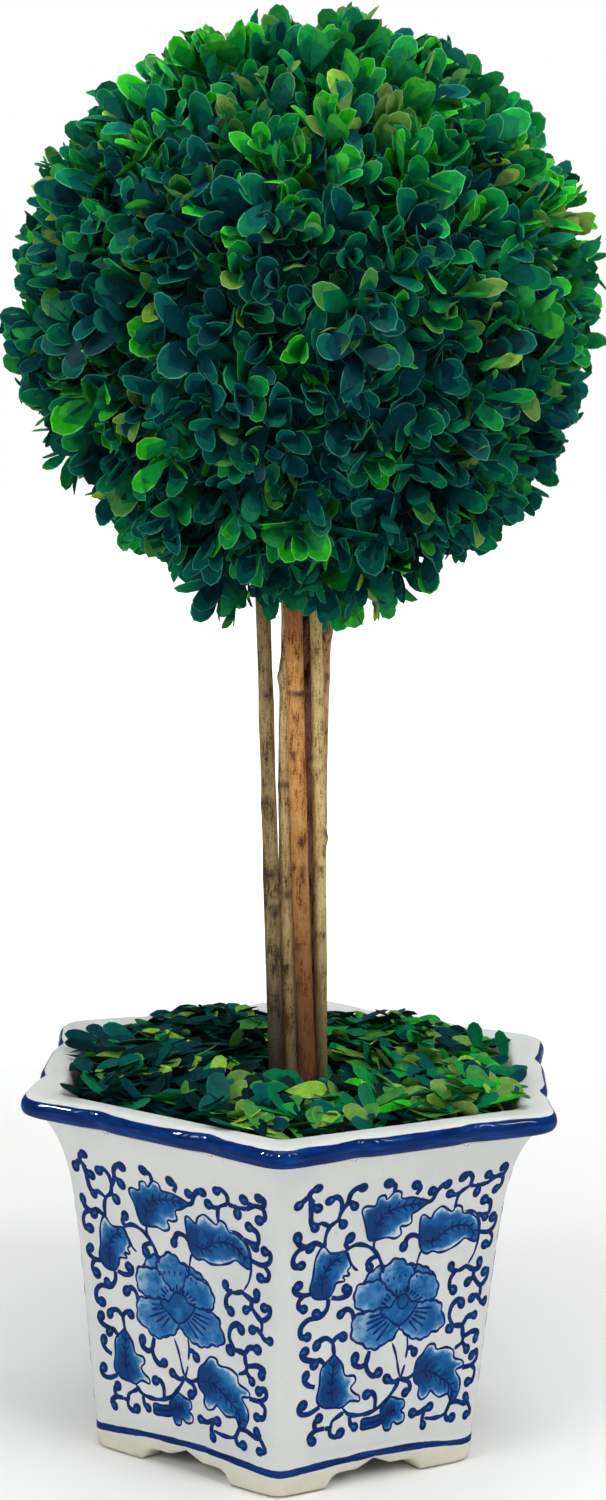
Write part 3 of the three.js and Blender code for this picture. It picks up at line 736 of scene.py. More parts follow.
# Peony: petals from the back ones to the front ones, then its heart
PETALS = [
    [(372, 588), (380, 548), (414, 520), (452, 508), (486, 530), (500, 580), (480, 630), (420, 636)],
    [(560, 560), (584, 520), (640, 528), (690, 548), (726, 580), (700, 620), (640, 640), (590, 620)],
    [(452, 566), (450, 532), (478, 512), (502, 492), (545, 492), (570, 512), (602, 528), (620, 556)]
    + [(608, 640), (562, 676), (508, 668), (468, 622)],
    [(620, 556), (680, 565), (716, 572), (745, 602), (755, 634), (742, 662), (700, 674), (640, 676)]
    + [(596, 654), (588, 610)],
    [(452, 566), (400, 566), (346, 572), (330, 604), (336, 650), (370, 672), (440, 678), (520, 676)]
    + [(536, 640), (486, 602)],
    [(466, 680), (380, 684), (336, 692), (324, 736), (330, 780), (370, 798), (410, 823), (452, 828)]
    + [(490, 812), (530, 800), (558, 754), (506, 706)],
    [(638, 678), (722, 676), (776, 692), (790, 730), (811, 766), (780, 796), (740, 800), (700, 818)]
    + [(640, 812), (600, 790), (560, 752), (606, 712)],
]
HEART = [(460, 692), (480, 672), (508, 676), (536, 642), (566, 634), (598, 642), (614, 664), (650, 672)]
HEART += [(618, 718), (560, 752), (504, 722)]
HEART_MIDDLE = (560, 690)
EYE_MIDDLE, EYE_RADIUS = (570, 660), 28
FRILL, FRILL_LENGTH = 6.5, 46


def smooth_line(points, step, closed=False):
    """A smooth line through points, as evenly spaced as the step asks."""
    points = np.array(points, float)
    before, after = 2 * points[0] - points[1], [2 * points[-1] - points[-2]]
    if closed:
        before, after = points[-1], points[:2]
    points = np.vstack([before, points, *after])
    line = []
    for a, b, c, d in zip(points, points[1:], points[2:], points[3:]):
        for s in np.linspace(0, 1, 13)[:-1]:
            curved = (2 * a - 5 * b + 4 * c - d) * s**2
            line.append(0.5 * (2 * b + (c - a) * s + curved + (3 * b - a - 3 * c + d) * s**3))
    line = np.array([*line, points[-2]])
    run = np.concatenate([[0], np.cumsum(np.linalg.norm(np.diff(line, axis=0), axis=1))])
    places = np.linspace(0, run[-1], max(4, int(run[-1] / step) + 1) + 1)
    line = np.stack([np.interp(places, run, line[:, k]) for k in range(2)], 1)
    return line[:-1] if closed else line


def quarter_turn(way):
    """A direction on the sheet, turned by a right angle."""
    return np.stack([-way[..., 1], way[..., 0]], -1)


def oval(middle, size, ahead, long, wide, count):
    """Outline of an oval that points ahead."""
    turn = np.linspace(0, 2 * math.pi, count + 1)[:-1]
    cos, sin = np.cos(turn)[:, None], np.sin(turn)[:, None]
    return middle + size * (cos * ahead * long + sin * quarter_turn(ahead) * wide)


def gap_to(line, points):
    """How far points are from the nearest point of a line."""
    return np.min(np.linalg.norm(points[:, None] - line[None], axis=2), axis=1)


def within(outline, points):
    """Which points lie within a closed outline."""
    inside = np.zeros(len(points), bool)
    x, y = points.T
    for a, b in zip(outline, np.roll(outline, -1, 0)):
        rise = b[1] - a[1] if b[1] != a[1] else 1e-9
        where = a[0] + (y - a[1]) / rise * (b[0] - a[0])
        inside ^= ((a[1] > y) != (b[1] > y)) & (x < where)
    return inside


class Painter:
    """Lays brush work on one side of the pot, with a hand of its own for each side."""

    def __init__(self, side, rng, work):
        self.side = side
        self.phases = rng.uniform(0, 2 * math.pi, 4)
        self.rng = rng
        self.shift = FRONT_SHIFTS.get(side, tuple(rng.uniform(-OTHER_SHIFT, OTHER_SHIFT, 4)))
        self.work = work

    def place(self, sheet, lift):
        """Points of the sheet on the pot's wall, lifted by a height for each point."""
        u, v = sheet.T.copy()
        a, b, c, d = self.phases
        across, bulge, down, slope = self.shift
        bulged = across + bulge * np.sin(math.pi * u / SHEET_WIDTH)
        u += bulged + 5 * np.sin(v / 190 + a) + 4 * np.sin(u / 260 + b)
        v += down + slope * u / SHEET_WIDTH + 5 * np.sin(u / 210 + c) + 3 * np.sin(v / 170 + d)
        z = SHEET_TOP - v * SHEET_UNIT
        angle = self.side * SIDE_ANGLE + np.arctan(2 * (u / SHEET_WIDTH - 0.5) * HALF_SIDE)
        return polar(hexagon_radius(angle, wall_apothem(z), WALL_ROUNDING) + lift, angle, z)

    def stroke(self, line, widths, lift, closed=False):
        """A ribbon of paint with thickness along a line; widths are half widths in sheet units."""
        ahead = np.roll(line, -1, 0) - np.roll(line, 1, 0)
        if not closed:
            ahead[0], ahead[-1] = line[1] - line[0], line[-1] - line[-2]
        normal = unit(quarter_turn(ahead)) * widths[:, None]
        corners = ((1, -PAINT_DEPTH), (1, lift), (-1, lift), (-1, -PAINT_DEPTH))
        rows = [self.place(line + side * normal, height) for side, height in corners]
        count, faces = len(line), []
        for i in range(count if closed else count - 1):
            j = (i + 1) % count
            for a, b in ((0, count), (count, 2 * count), (2 * count, 3 * count), (3 * count, 0)):
                faces.append([a + i, b + i, b + j, a + j])
        if not closed:
            faces.append([k * count for k in (3, 2, 1, 0)])
            faces.append([k * count + count - 1 for k in range(4)])
        self.work[LINES].append((np.vstack(rows), faces, 0.0))

    def patch(self, outline, lift, piece, depth, spacing=15):
        """A filled patch of paint that follows the wall, with its edge turned down into it."""
        low, high = outline.min(0), outline.max(0)
        across, down = (np.arange(low[k] + spacing / 2, high[k], spacing) for k in (0, 1))
        grid = np.stack(np.meshgrid(across, down), -1).reshape(-1, 2)
        grid = grid[within(outline, grid) & (gap_to(outline, grid) > spacing * 0.45)]
        corners = [Vector(point) for point in np.vstack([outline, grid])]
        border = [(i, (i + 1) % len(outline)) for i in range(len(outline))]
        flat, _, triangles, *_ = delaunay_2d_cdt(corners, border, [], 1, 1e-4)
        flat = np.array([tuple(point) for point in flat])
        count = len(flat)
        faces = [list(face) for face in triangles]
        used = dict.fromkeys(pair for face in faces for pair in zip(face, face[1:] + face[:1]))
        skirt = [[b, a, a + count, b + count] for a, b in used if (b, a) not in used]
        under = [[v + count for v in reversed(face)] for face in faces]
        points = np.vstack([self.place(flat, lift), self.place(flat, -PAINT_DEPTH)])
        depth = np.tile(depth(flat), 2) if callable(depth) else depth
        self.work[piece].append((points, faces + skirt + under, depth))

    def scroll(self, points):
        """A curled stroke that swells into a round head, whose paler middle is partly lighter paint and
        partly a painted highlight.
        """
        line = smooth_line(points, BRUSH_STEP)
        run = np.linspace(0, 1, len(line))
        head = self.rng.uniform(HEAD_SMALLEST, HEAD_LARGEST)
        widths = SCROLL_FOOT + (SCROLL_NECK - SCROLL_FOOT) * run**2
        widths *= 1 + 0.06 * np.sin(run * 9 + self.rng.uniform(0, 6))
        self.stroke(line, widths, LINE_LIFT * self.rng.uniform(0.8, 1.0))
        ahead, middle = unit(line[-1] - line[-3]), line[-1]
        round_head = oval(middle, head, ahead, self.rng.uniform(1.0, 1.2), 1, 14)
        self.patch(round_head, LINE_LIFT * 1.05, LINES, 0.0, spacing=30)
        # The glint: a paler oval in the head, partly lighter paint and partly a painted highlight
        glint = oval(middle - ahead * head * 0.25, head, ahead, 0.5, 0.24, 14)
        self.patch(glint, GLINT_LIFT, WASHES, 0.74, spacing=30)

    def line(self, points, width, closed=False, taper=0.35, lift=LINE_LIFT):
        line = smooth_line(points, BRUSH_STEP, closed)
        run = np.linspace(0, 1, len(line))
        ends = 1 if closed else smooth_step(np.minimum(run, 1 - run), -0.02, taper * 0.3)
        wobble = 1 + 0.2 * np.sin(run * len(line) * 0.5 + self.rng.uniform(0, 6))
        self.stroke(line, width * ends * wobble, lift, closed)


def paint_leaf(painter, outline, vein, dark_end):
    curve, middle = smooth_line(outline, 9, closed=True), smooth_line(vein, 8)
    reach = np.median(gap_to(middle, curve))

    def depth(points):
        off_vein = gap_to(middle, points) / reach
        near_end = bump(np.linalg.norm(points - np.array(dark_end), axis=1), 72)
        rim = bump(gap_to(curve, points), 13) * smooth_step(off_vein, 0.3, 0.75) * (1 - near_end)
        return np.clip(0.8 - 0.18 * off_vein**2 + 0.45 * near_end - 0.62 * rim, 0.04, 1.15)

    painter.patch(curve, WASH_LIFT, WASHES, depth, spacing=12)
    painter.line(outline, 4.8, closed=True)
    painter.line(vein, 5.0)
    spine = smooth_line(vein, 36)
    for before, root, after in zip(spine, spine[1:], spine[2:]):
        ahead = unit(after - before)
        for turn in (-1, 1):
            tip = root + (quarter_turn(ahead) * turn * 0.8 + ahead * 0.75) * reach * 0.52
            painter.line([root, (root + tip) / 2 + ahead * 2, tip], 3.8)


def frilled(outline):
    """The closed outline of a petal with its edge in small waves."""
    curve = smooth_line(outline, 6, closed=True)
    run = np.cumsum(np.linalg.norm(curve - np.roll(curve, 1, 0), axis=1))
    waves = round(run[-1] / FRILL_LENGTH)
    out = unit(curve - curve.mean(0))
    return curve + out * (FRILL * np.abs(np.sin(math.pi * waves * run / run[-1])) - FRILL / 2)[:, None]


def paint_peony(painter):
    heart = np.array(HEART_MIDDLE, float)
    top = WASH_LIFT + len(PETALS) * PETAL_STEP

    def away(degrees, across, down):
        turn = math.radians(degrees)
        return np.array([math.cos(turn) * across, math.sin(turn) * down])

    for layer, petal in enumerate(PETALS):
        curve = frilled(petal)
        left = curve[:, 0].mean()

        def depth(points):
            out = np.linalg.norm(points - heart, axis=1)
            pale = 0.2 * smooth_step(left - points[:, 0], -30, 90) * smooth_step(out, 90, 230)
            rim = bump(gap_to(curve, points), 16)
            return np.clip(0.6 - pale - 0.2 * rim + 0.14 * bump(out, 70), 0.16, 1)

        lift = WASH_LIFT + layer * PETAL_STEP
        painter.patch(curve, lift, WASHES, depth)
        painter.line(curve, 5.2, closed=True, lift=lift + PETAL_STEP * 0.6)
    painter.patch(smooth_line(HEART, 9, closed=True), top, WASHES, 0.74)
    painter.line(HEART, 5.0, closed=True, lift=top + PETAL_STEP)
    if painter.side % 2:
        eye = oval(np.array(EYE_MIDDLE), EYE_RADIUS, np.array([1.0, 0.0]), 1, 1, 18)
        painter.patch(eye, top + PETAL_STEP, WASHES, 0.82)
        painter.line(eye, 4.0, closed=True, lift=top + 2 * PETAL_STEP)
    rays = [(degrees, 92) for degrees in range(194, 350, 12)]
    rays += [(degrees, 140) for degrees in (6, 16, 27, 39, 52, 128, 141, 153, 164, 174)]
    for degrees, far in rays:
        way = away(degrees, 1.25, 0.95)
        start, end = heart + way * 64, heart + way * (far * painter.rng.uniform(0.85, 1.1))
        painter.line([start, (start + end) / 2, end], 4.8, lift=top)
    for degrees in range(238, 306, 9):
        dot = heart + away(degrees, 190, 138)
        painter.line([dot, dot + [1, 7], dot + [1, 14]], 4.4)


def paint_pot():
    dark = Finish("painted_line", **GLAZED)
    tone = dark.noise(260)
    dark.set("Base Color", dark.ramp(tone, [(0.3, COBALT_DARK), (0.6, COBALT), (0.85, COBALT_LIGHT)]))
    wash = Finish("painted_wash", **GLAZED)
    cloud = wash.between(wash.noise(210, detail=5, rough=0.65), 0.3, 0.7, -0.18, 0.18)
    stops = [(0.05, GLAZE_COOL), (0.24, srgb(146, 180, 208)), (0.44, srgb(60, 124, 178))]
    stops += [(0.68, srgb(12, 92, 154)), (1.0, srgb(2, 54, 114))]
    wash.set("Base Color", wash.ramp(wash.sum("ADD", wash.attribute("paint_depth"), cloud), stops))

    rng = np.random.default_rng(PAINT_SEED)
    work = {LINES: [], WASHES: []}
    for side in range(SIDES):
        painter = Painter(side, rng, work)
        for leaf in LEAVES:
            paint_leaf(painter, *leaf)
        paint_peony(painter)
        for stalk in STALKS:
            painter.line(stalk, 8.6, taper=0.2)
        for hair in HAIR_LINES:
            painter.line(hair, 5.2)
        for scroll in SCROLLS:
            painter.scroll(scroll)
    for name, finish in ((LINES, dark), (WASHES, wash)):
        points, faces, depths, count = [], [], [], 0
        for some, some_faces, depth in work[name]:
            points.append(some)
            depths.append(np.broadcast_to(depth, len(some)))
            faces += [[count + i for i in face] for face in some_faces]
            count += len(some)
        drawing = piece_from(name, np.vstack(points), faces, [finish])
        mark_points(drawing, "paint_depth", np.concatenate(depths))
        face_outward(drawing, crease=45)
        keep(drawing, "pot_glaze", "pot")


def make_pot():
    pot = pull_up("glazed_pot", pot_rings())
    paint_places(pot)
    pot.data.materials.append(glazed_pot_finish().material)
    keep(pot, "pot_glaze", "pot")
    paint_pot()


# Stems


def stem_middle(name, z):
    low, high, _, bow = STEMS[name]
    along = (z - STEM_LOW) / (STEM_HIGH - STEM_LOW)
    bend = bow * 4 * along * (1 - along) * ((along > 0) & (along < 1))
    x = low[0] + (high[0] - low[0]) * along + bend
    return x, low[1] + (high[1] - low[1]) * along


def stem_radius(name, z):
    first, last = STEMS[name][2]
    return first + (last - first) * (z - STEM_LOW) / (STEM_HIGH - STEM_LOW)


def stem_clearance(points):
    """The gap between points and the nearest stem."""
    z = points[..., 2]
    gaps = []
    for name in STEMS:
        x, y = stem_middle(name, z)
        gaps.append(np.hypot(points[..., 0] - x, points[..., 1] - y) - stem_radius(name, z))
    gap = np.min(gaps, axis=0)
    return np.where((z < STEM_FOOT - 5) | (z > STEM_END + 5), 1000.0, gap)


def stem_relief(name, number, angle, z):
    """How far the bark stands proud, and how much of a knot's dark mark lies there."""
    around = Vector((math.cos(angle), math.sin(angle), 0))

    def rough(across, up, offset):
        return noise.noise(Vector((around.x * across, around.y * across, z * up + number * offset)))

    crack = max(0.0, abs(rough(4.5, 0.05, 21)) - 0.42)
    ridge, fine, swell = rough(3.1, 0.035, 7), rough(8.0, 0.12, 13), rough(0.8, 0.05, 3)
    height = 0.16 * ridge + 0.1 * fine + 0.2 * swell - 0.8 * crack
    mark = 0.0
    for knot_z, degrees, tall, wide, proud in KNOTS[name]:
        turn = (angle - math.radians(degrees) + math.pi) % (2 * math.pi) - math.pi

        def blot(rise, high, across):
            up = (z - knot_z - tall * rise) / (tall * high)
            return math.exp(-(up**2) - (turn / (wide * across)) ** 2)

        near, pit, brow = blot(0, 1, 1), blot(0.3, 0.5, 0.85), blot(0.8, 0.25, 1.3)
        height += proud * near - 0.5 * proud * pit
        mark = max(mark, pit, 0.8 * brow, 0.4 * near)
    return height, mark


def grow_stem(number, name, finish):
    """A stem drawn as a round rod along its own lean, then given its bark."""
    points, marks, faces = [], [], []
    for z in np.arange(STEM_FOOT, STEM_END + STEM_STEP / 2, STEM_STEP):
        x, y = stem_middle(name, np.array(z))
        for angle in np.arange(STEM_SIDES) * 2 * math.pi / STEM_SIDES:
            relief, mark = stem_relief(name, number, angle, z)
            out = stem_radius(name, z) + relief
            points.append((x + out * math.cos(angle), y + out * math.sin(angle), z))
            marks.append(mark)
    around, top = range(STEM_SIDES), len(points) - STEM_SIDES
    for first in range(0, top, STEM_SIDES):
        for i in around:
            a, b = first + i, first + (i + 1) % STEM_SIDES
            faces.append([a, b, b + STEM_SIDES, a + STEM_SIDES])
    faces += [list(around)[::-1], [top + i for i in around]]
    stem = piece_from(f"{name}_bark", points, faces, [finish])
    mark_points(stem, "knot_mark", marks)
    return stem


# Each bark: its dark, middle and pale tone, the height below which it darkens, how much, and to what
BARKS = {
    "bark_grey": ((64, 48, 30), (136, 112, 72), (172, 146, 100), 0.185, 0.93, (34, 33, 25)),
    "bark_tan": ((112, 80, 44), (216, 182, 124), (240, 214, 160), 0.17, 0.6, (110, 82, 52)),
    "bark_orange": ((106, 54, 26), (206, 142, 74), (226, 174, 110), 0.245, 0.86, (92, 44, 22)),
    "bark_olive": ((118, 92, 46), (206, 180, 116), (230, 208, 148), 0.2, 0.78, (88, 72, 40)),
    "bark_dark": ((66, 38, 36), (146, 100, 92), (186, 142, 132), 0.2, 0.6, (40, 24, 22)),
    "bark_rust": ((124, 78, 50), (188, 146, 106), (218, 182, 142), 0.2, 0.6, (80, 50, 34)),
}
# Bark and slot of each stem
STEM_BARK = {
    "stem_left": ("bark_grey", "bark_grey"),
    "stem_second": ("bark_tan", "bark_tan"),
    "stem_centre": ("bark_orange", "bark_orange"),
    "stem_right": ("bark_olive", "bark_olive"),
    "stem_back": ("bark_dark", "bark_dark"),
    "stem_back_right": ("bark_rust", "bark_tan"),
}


def bark_finish(name):
    *tones, level, share, shade = BARKS[name]
    dark, middle, pale = (srgb(*tone) for tone in tones)
    bark = Finish(name, Roughness=0.62, Specular_IOR_Level=0.05)
    streaks = bark.noise(1400, detail=5, rough=0.65, stretch=(1, 1, 0.14), bend=0.25)
    patches = bark.noise(190, detail=4, rough=0.6, stretch=(1, 1, 0.45))
    grain = bark.noise(3000, stretch=(1, 1, 0.5))
    tone = bark.sum("MULTIPLY_ADD", streaks, 0.36, bark.sum("MULTIPLY", patches, 0.4))
    tone = bark.sum("MULTIPLY_ADD", grain, 0.24, tone)
    colour = bark.ramp(tone, [(0.43, dark), (0.485, middle), (0.57, pale)])
    speck = bark.between(bark.pattern("ShaderNodeTexVoronoi", 640, (1, 1, 0.6)), 0.12, 0.24, 1, 0)
    rare = bark.between(bark.noise(400, detail=1), 0.5, 0.56)
    colour = bark.mix(bark.sum("MULTIPLY", bark.sum("MULTIPLY", speck, rare), 0.4), colour, dark)
    rings = bark.between(bark.noise(330, detail=4, stretch=(0.12, 0.12, 1)), 0.62, 0.7, 0, 0.2)
    colour = bark.mix(rings, colour, dark)
    knots = bark.sum("MULTIPLY", bark.attribute("knot_mark"), 0.95)
    colour = bark.mix(knots, colour, toned(dark, 0.45))
    colour = bark.mix(bark.between(bark.height(), 0.126, level, share, 0), colour, srgb(*shade))
    if name == "bark_orange":
        blush = bark.between(bark.height(), 0.266, 0.285, 0, 0.6)
        colour = bark.mix(blush, colour, srgb(140, 70, 52))
    bark.set("Base Color", colour)
    bark.relief(tone, 0.0009)
    return bark


def make_stems():
    finishes = {name: bark_finish(name) for name in BARKS}
    for number, (name, (bark, slot)) in enumerate(STEM_BARK.items()):
        keep(grow_stem(number, name, finishes[bark]), slot, name)


# Leaves

# Places along a leaf from its foot to its tip, and half its width there, as parts of its length
LEAF_PLACES = np.array([0.16, 0.36, 0.57, 0.76, 0.91])
LEAF_WIDTHS = np.array([0.08, 0.175, 0.235, 0.225, 0.152])
LEAF_TIP = 0.99
LEAF_LIT_MARGIN = 0.023
LEAF_SHADED_ROWS = 2
LEAF_THICKNESS = 0.018
# The margin's paler tint is a painted rim highlight along the leaf's edge
LEAF_SIDES = "upper", "under", "lit_margin"


def leaf_faces():
    """Triangles of one closed leaf: upper side, underside and a paler margin that is a painted rim
    highlight, with a foot half that takes a darker tint as painted shade.
    """
    count = len(LEAF_PLACES)
    foot, tip = 0, 1
    left, right, inner_left, inner_right, top, back = (
        [first + i for i in range(count)]
        for first in (2, 2 + count, 4 + 2 * count, 4 + 3 * count, 4 + 4 * count, 4 + 5 * count)
    )
    inner_foot, inner_tip = 2 + 2 * count, 3 + 2 * count
    upper = [[inner_left[-1], top[-1], inner_tip]]
    under = [[tip, back[-1], left[-1]]]
    lit_margin = [[inner_left[-1], inner_tip, tip], [inner_left[-1], tip, left[-1]]]
    upper_shaded = [[inner_foot, top[0], inner_left[0]]]
    upper_shaded += [[foot, inner_foot, inner_left[0]], [foot, inner_left[0], left[0]]]
    under_shaded = [[left[0], back[0], foot]]
    for i in range(count - 1):
        j = i + 1
        middle, outer = (upper_shaded if i <= at else upper for at in (LEAF_SHADED_ROWS, LEAF_SHADED_ROWS - 1))
        middle.append([inner_left[i], top[i], top[j]])
        outer.append([inner_left[i], top[j], inner_left[j]])
        middle, outer = (under_shaded if i <= at else under for at in (LEAF_SHADED_ROWS, LEAF_SHADED_ROWS - 1))
        middle.append([back[j], back[i], left[i]])
        outer.append([left[j], back[j], left[i]])
        edge = upper_shaded if i < LEAF_SHADED_ROWS else lit_margin
        edge += [[inner_left[i], inner_left[j], left[j]], [inner_left[i], left[j], left[i]]]
    mirror = dict(zip(left + inner_left, right + inner_right))
    parts = (upper, under, lit_margin, upper_shaded, under_shaded)
    for part in parts:
        part += [[mirror.get(v, v) for v in reversed(face)] for face in part]
    which = [number for number, part in enumerate(parts) for _ in part]
    return np.array([face for part in parts for face in part]), which


LEAF_FACES, LEAF_FACE_FINISH = leaf_faces()
LEAF_POINTS = 4 + 6 * len(LEAF_PLACES)
LEAF_EDGE_POINTS = 2 + 2 * len(LEAF_PLACES)


def leaf_points(roots, along, across, length, width, fold, curl, twist):
    """Points of many leaves at once: each folds along its middle, curls along its length and twists."""
    count = len(LEAF_PLACES)
    flat, rows = np.zeros(count), 2 + 2 * count
    inner = LEAF_WIDTHS - LEAF_LIT_MARGIN
    inner_ends = [LEAF_LIT_MARGIN * 1.6, LEAF_TIP - LEAF_LIT_MARGIN]
    s = np.concatenate([[0.0, LEAF_TIP], LEAF_PLACES, LEAF_PLACES, inner_ends, *[LEAF_PLACES] * 4])[None]
    w = np.concatenate([[0, 0], LEAF_WIDTHS, -LEAF_WIDTHS, [0, 0], inner, -inner, flat, flat])
    h = np.concatenate([np.zeros(rows), np.full(rows, 0.3), flat + 0.5, flat - 0.5])
    h = h[None] * LEAF_THICKNESS
    w = w[None] * width[:, None]
    lift = h + fold[:, None] * np.abs(w) + curl[:, None] * s**2
    turn = twist[:, None] * s
    lift = (lift + w * np.sin(turn))[..., None]
    forward = (s - 0.5 * curl[:, None] ** 2 * s**3)[..., None]
    offset = forward * along[:, None] + (w * np.cos(turn))[..., None] * across[:, None]
    offset = offset + lift * np.cross(along, across)[:, None]
    return roots[:, None] + offset * length[:, None, None]


def leaf_piece(name, leaves, finishes):
    """Joins many leaves into one piece, with the underside's own finish and a crisp edge."""
    amount = len(leaves)
    faces = (LEAF_FACES[None] + np.arange(amount)[:, None, None] * LEAF_POINTS).reshape(-1, 3)
    piece = piece_from(name, leaves, faces.tolist(), finishes, np.tile(LEAF_FACE_FINISH, amount))
    mesh = piece.data
    ends = np.empty(len(mesh.edges) * 2, np.int32)
    mesh.edges.foreach_get("vertices", ends)
    on_edge = (ends % LEAF_POINTS < LEAF_EDGE_POINTS).reshape(-1, 2).all(1)
    mesh.edges.foreach_set("use_edge_sharp", on_edge)
    return piece


# Leaf tints: upper side, underside and a paler margin that is a painted rim highlight, then the darker
# tint that the leaf's foot takes as painted shade
TINTS = {
    "shadow": ((3, 38, 36), (14, 52, 44), (36, 80, 70), "shadow"),
    "night": ((5, 58, 66), (14, 72, 74), (44, 108, 100), "night"),
    "deep": ((5, 86, 78), (18, 102, 86), (62, 140, 118), "night"),
    "dark": ((8, 112, 72), (24, 126, 82), (66, 158, 114), "deep"),
    "mid": ((18, 144, 62), (40, 152, 72), (80, 180, 106), "dark"),
    "fern": ((64, 136, 60), (88, 150, 78), (112, 172, 100), "dark"),
    "bright": ((42, 182, 34), (68, 184, 58), (112, 208, 98), "mid"),
    "lime": ((136, 190, 62), (156, 196, 90), (178, 212, 118), "olive"),
    "olive": ((104, 148, 66), (126, 160, 88), (148, 178, 110), "fern"),
}
TINT_NAMES = list(TINTS)
# How often each tint comes up, in that order: shaded and sunny parts of the ball, then of the bed; the
# paler tints of the sunny parts and the darker ones of the shaded parts are painted light and shade
BALL_SHADED = np.array([0.0, 0.12, 0.37, 0.27, 0.11, 0.03, 0.06, 0.01, 0.03])
BALL_SUNNY = np.array([0.0, 0.0, 0.04, 0.18, 0.39, 0.1, 0.2, 0.04, 0.05])
BED_SHADED = np.array([0.36, 0.26, 0.16, 0.07, 0.02, 0.04, 0.01, 0.04, 0.04])
BED_SUNNY = np.array([0.06, 0.06, 0.08, 0.15, 0.13, 0.26, 0.06, 0.05, 0.15])


def deal_tints(sunny, shaded_share, sunny_share, rng):
    """Draws a tint for each place from how sunny it is."""
    share = shaded_share + (sunny_share - shaded_share) * sunny[:, None]
    share = np.cumsum(share / share.sum(1, keepdims=True), axis=1)
    return (share < rng.uniform(size=(len(sunny), 1))).sum(1)


def leaf_finish(name, colour):
    leaf = Finish(name, Roughness=0.5, Specular_IOR_Level=0.008)
    leaf.two_tone(420, toned(colour, 0.76), toned(colour, 1.22))
    leaf.relief(leaf.noise(700, detail=2), 0.0002, 0.35)
    return leaf


def keep_leaves(slot, node, leaves, tint, finishes_of):
    """Joins leaves into one piece for each tint."""
    for index, name in enumerate(TINTS):
        if (tint == index).any():
            keep(leaf_piece(f"{slot}_{name}", leaves[tint == index], finishes_of(name)), slot, node)


def turn_about(vectors, axis, angle):
    """Vectors turned about an axis, one angle for each."""
    cos, sin = np.cos(angle)[:, None], np.sin(angle)[:, None]
    along = np.sum(vectors * axis, axis=1, keepdims=True)
    return vectors * cos + np.cross(axis, vectors) * sin + axis * along * (1 - cos)


def square_to(ways):
    """A direction at right angles to each way."""
    helper = np.where(np.abs(ways[:, 2:3]) < 0.9, [[0.0, 0, 1]], [[1.0, 0, 0]])
    return unit(np.cross(ways, helper))


def squared(ways, axes):
    """Directions brought to right angles with their axes."""
    return unit(ways - axes * np.sum(ways * axes, axis=1, keepdims=True))


def leaf_habits(rng, count, width, fold, curl, twist):
    """Draws a width from a range, and a fold, curl and twist about a middle, for each leaf."""
    widths = rng.uniform(*width, count)
    return widths, rng.normal(*fold, count), rng.normal(*curl, count), rng.normal(0, twist, count)


def sprig_places(count):
    """Where the sprigs stand: the source's rule, for more of them."""
    random = Seeded(BALL_SEED)
    golden = math.pi * (3 - math.sqrt(5))
    spread = math.sqrt(4 * math.pi / count)
    ways, turns, reaches = [], [], []
    for i in range(count):
        height = 1 - (2 * i + 1) / count
        ring = math.sqrt(1 - height * height)
        way = np.array([ring * math.cos(golden * i), ring * math.sin(golden * i), height])
        way += np.array([random() - 0.5, random() - 0.5, random() - 0.5]) * spread * JITTER
        ways.append(way / np.linalg.norm(way))
        turns.append(random() * math.pi)
        reaches.append(BALL_RADIUS - REACH_SPREAD * random() ** 1.3)
    return np.array(ways), np.array(turns), np.array(reaches)


# Pairs of leaves on a sprig from its tip inwards: distance from the tip pair, opening, length
LEAF_PAIRS = [
    (0.0, 0.2, 13.5),
    (4.5, 0.43, 16.5),
    (10.0, 0.68, 17.0),
    (16.0, 0.97, 16.0),
]


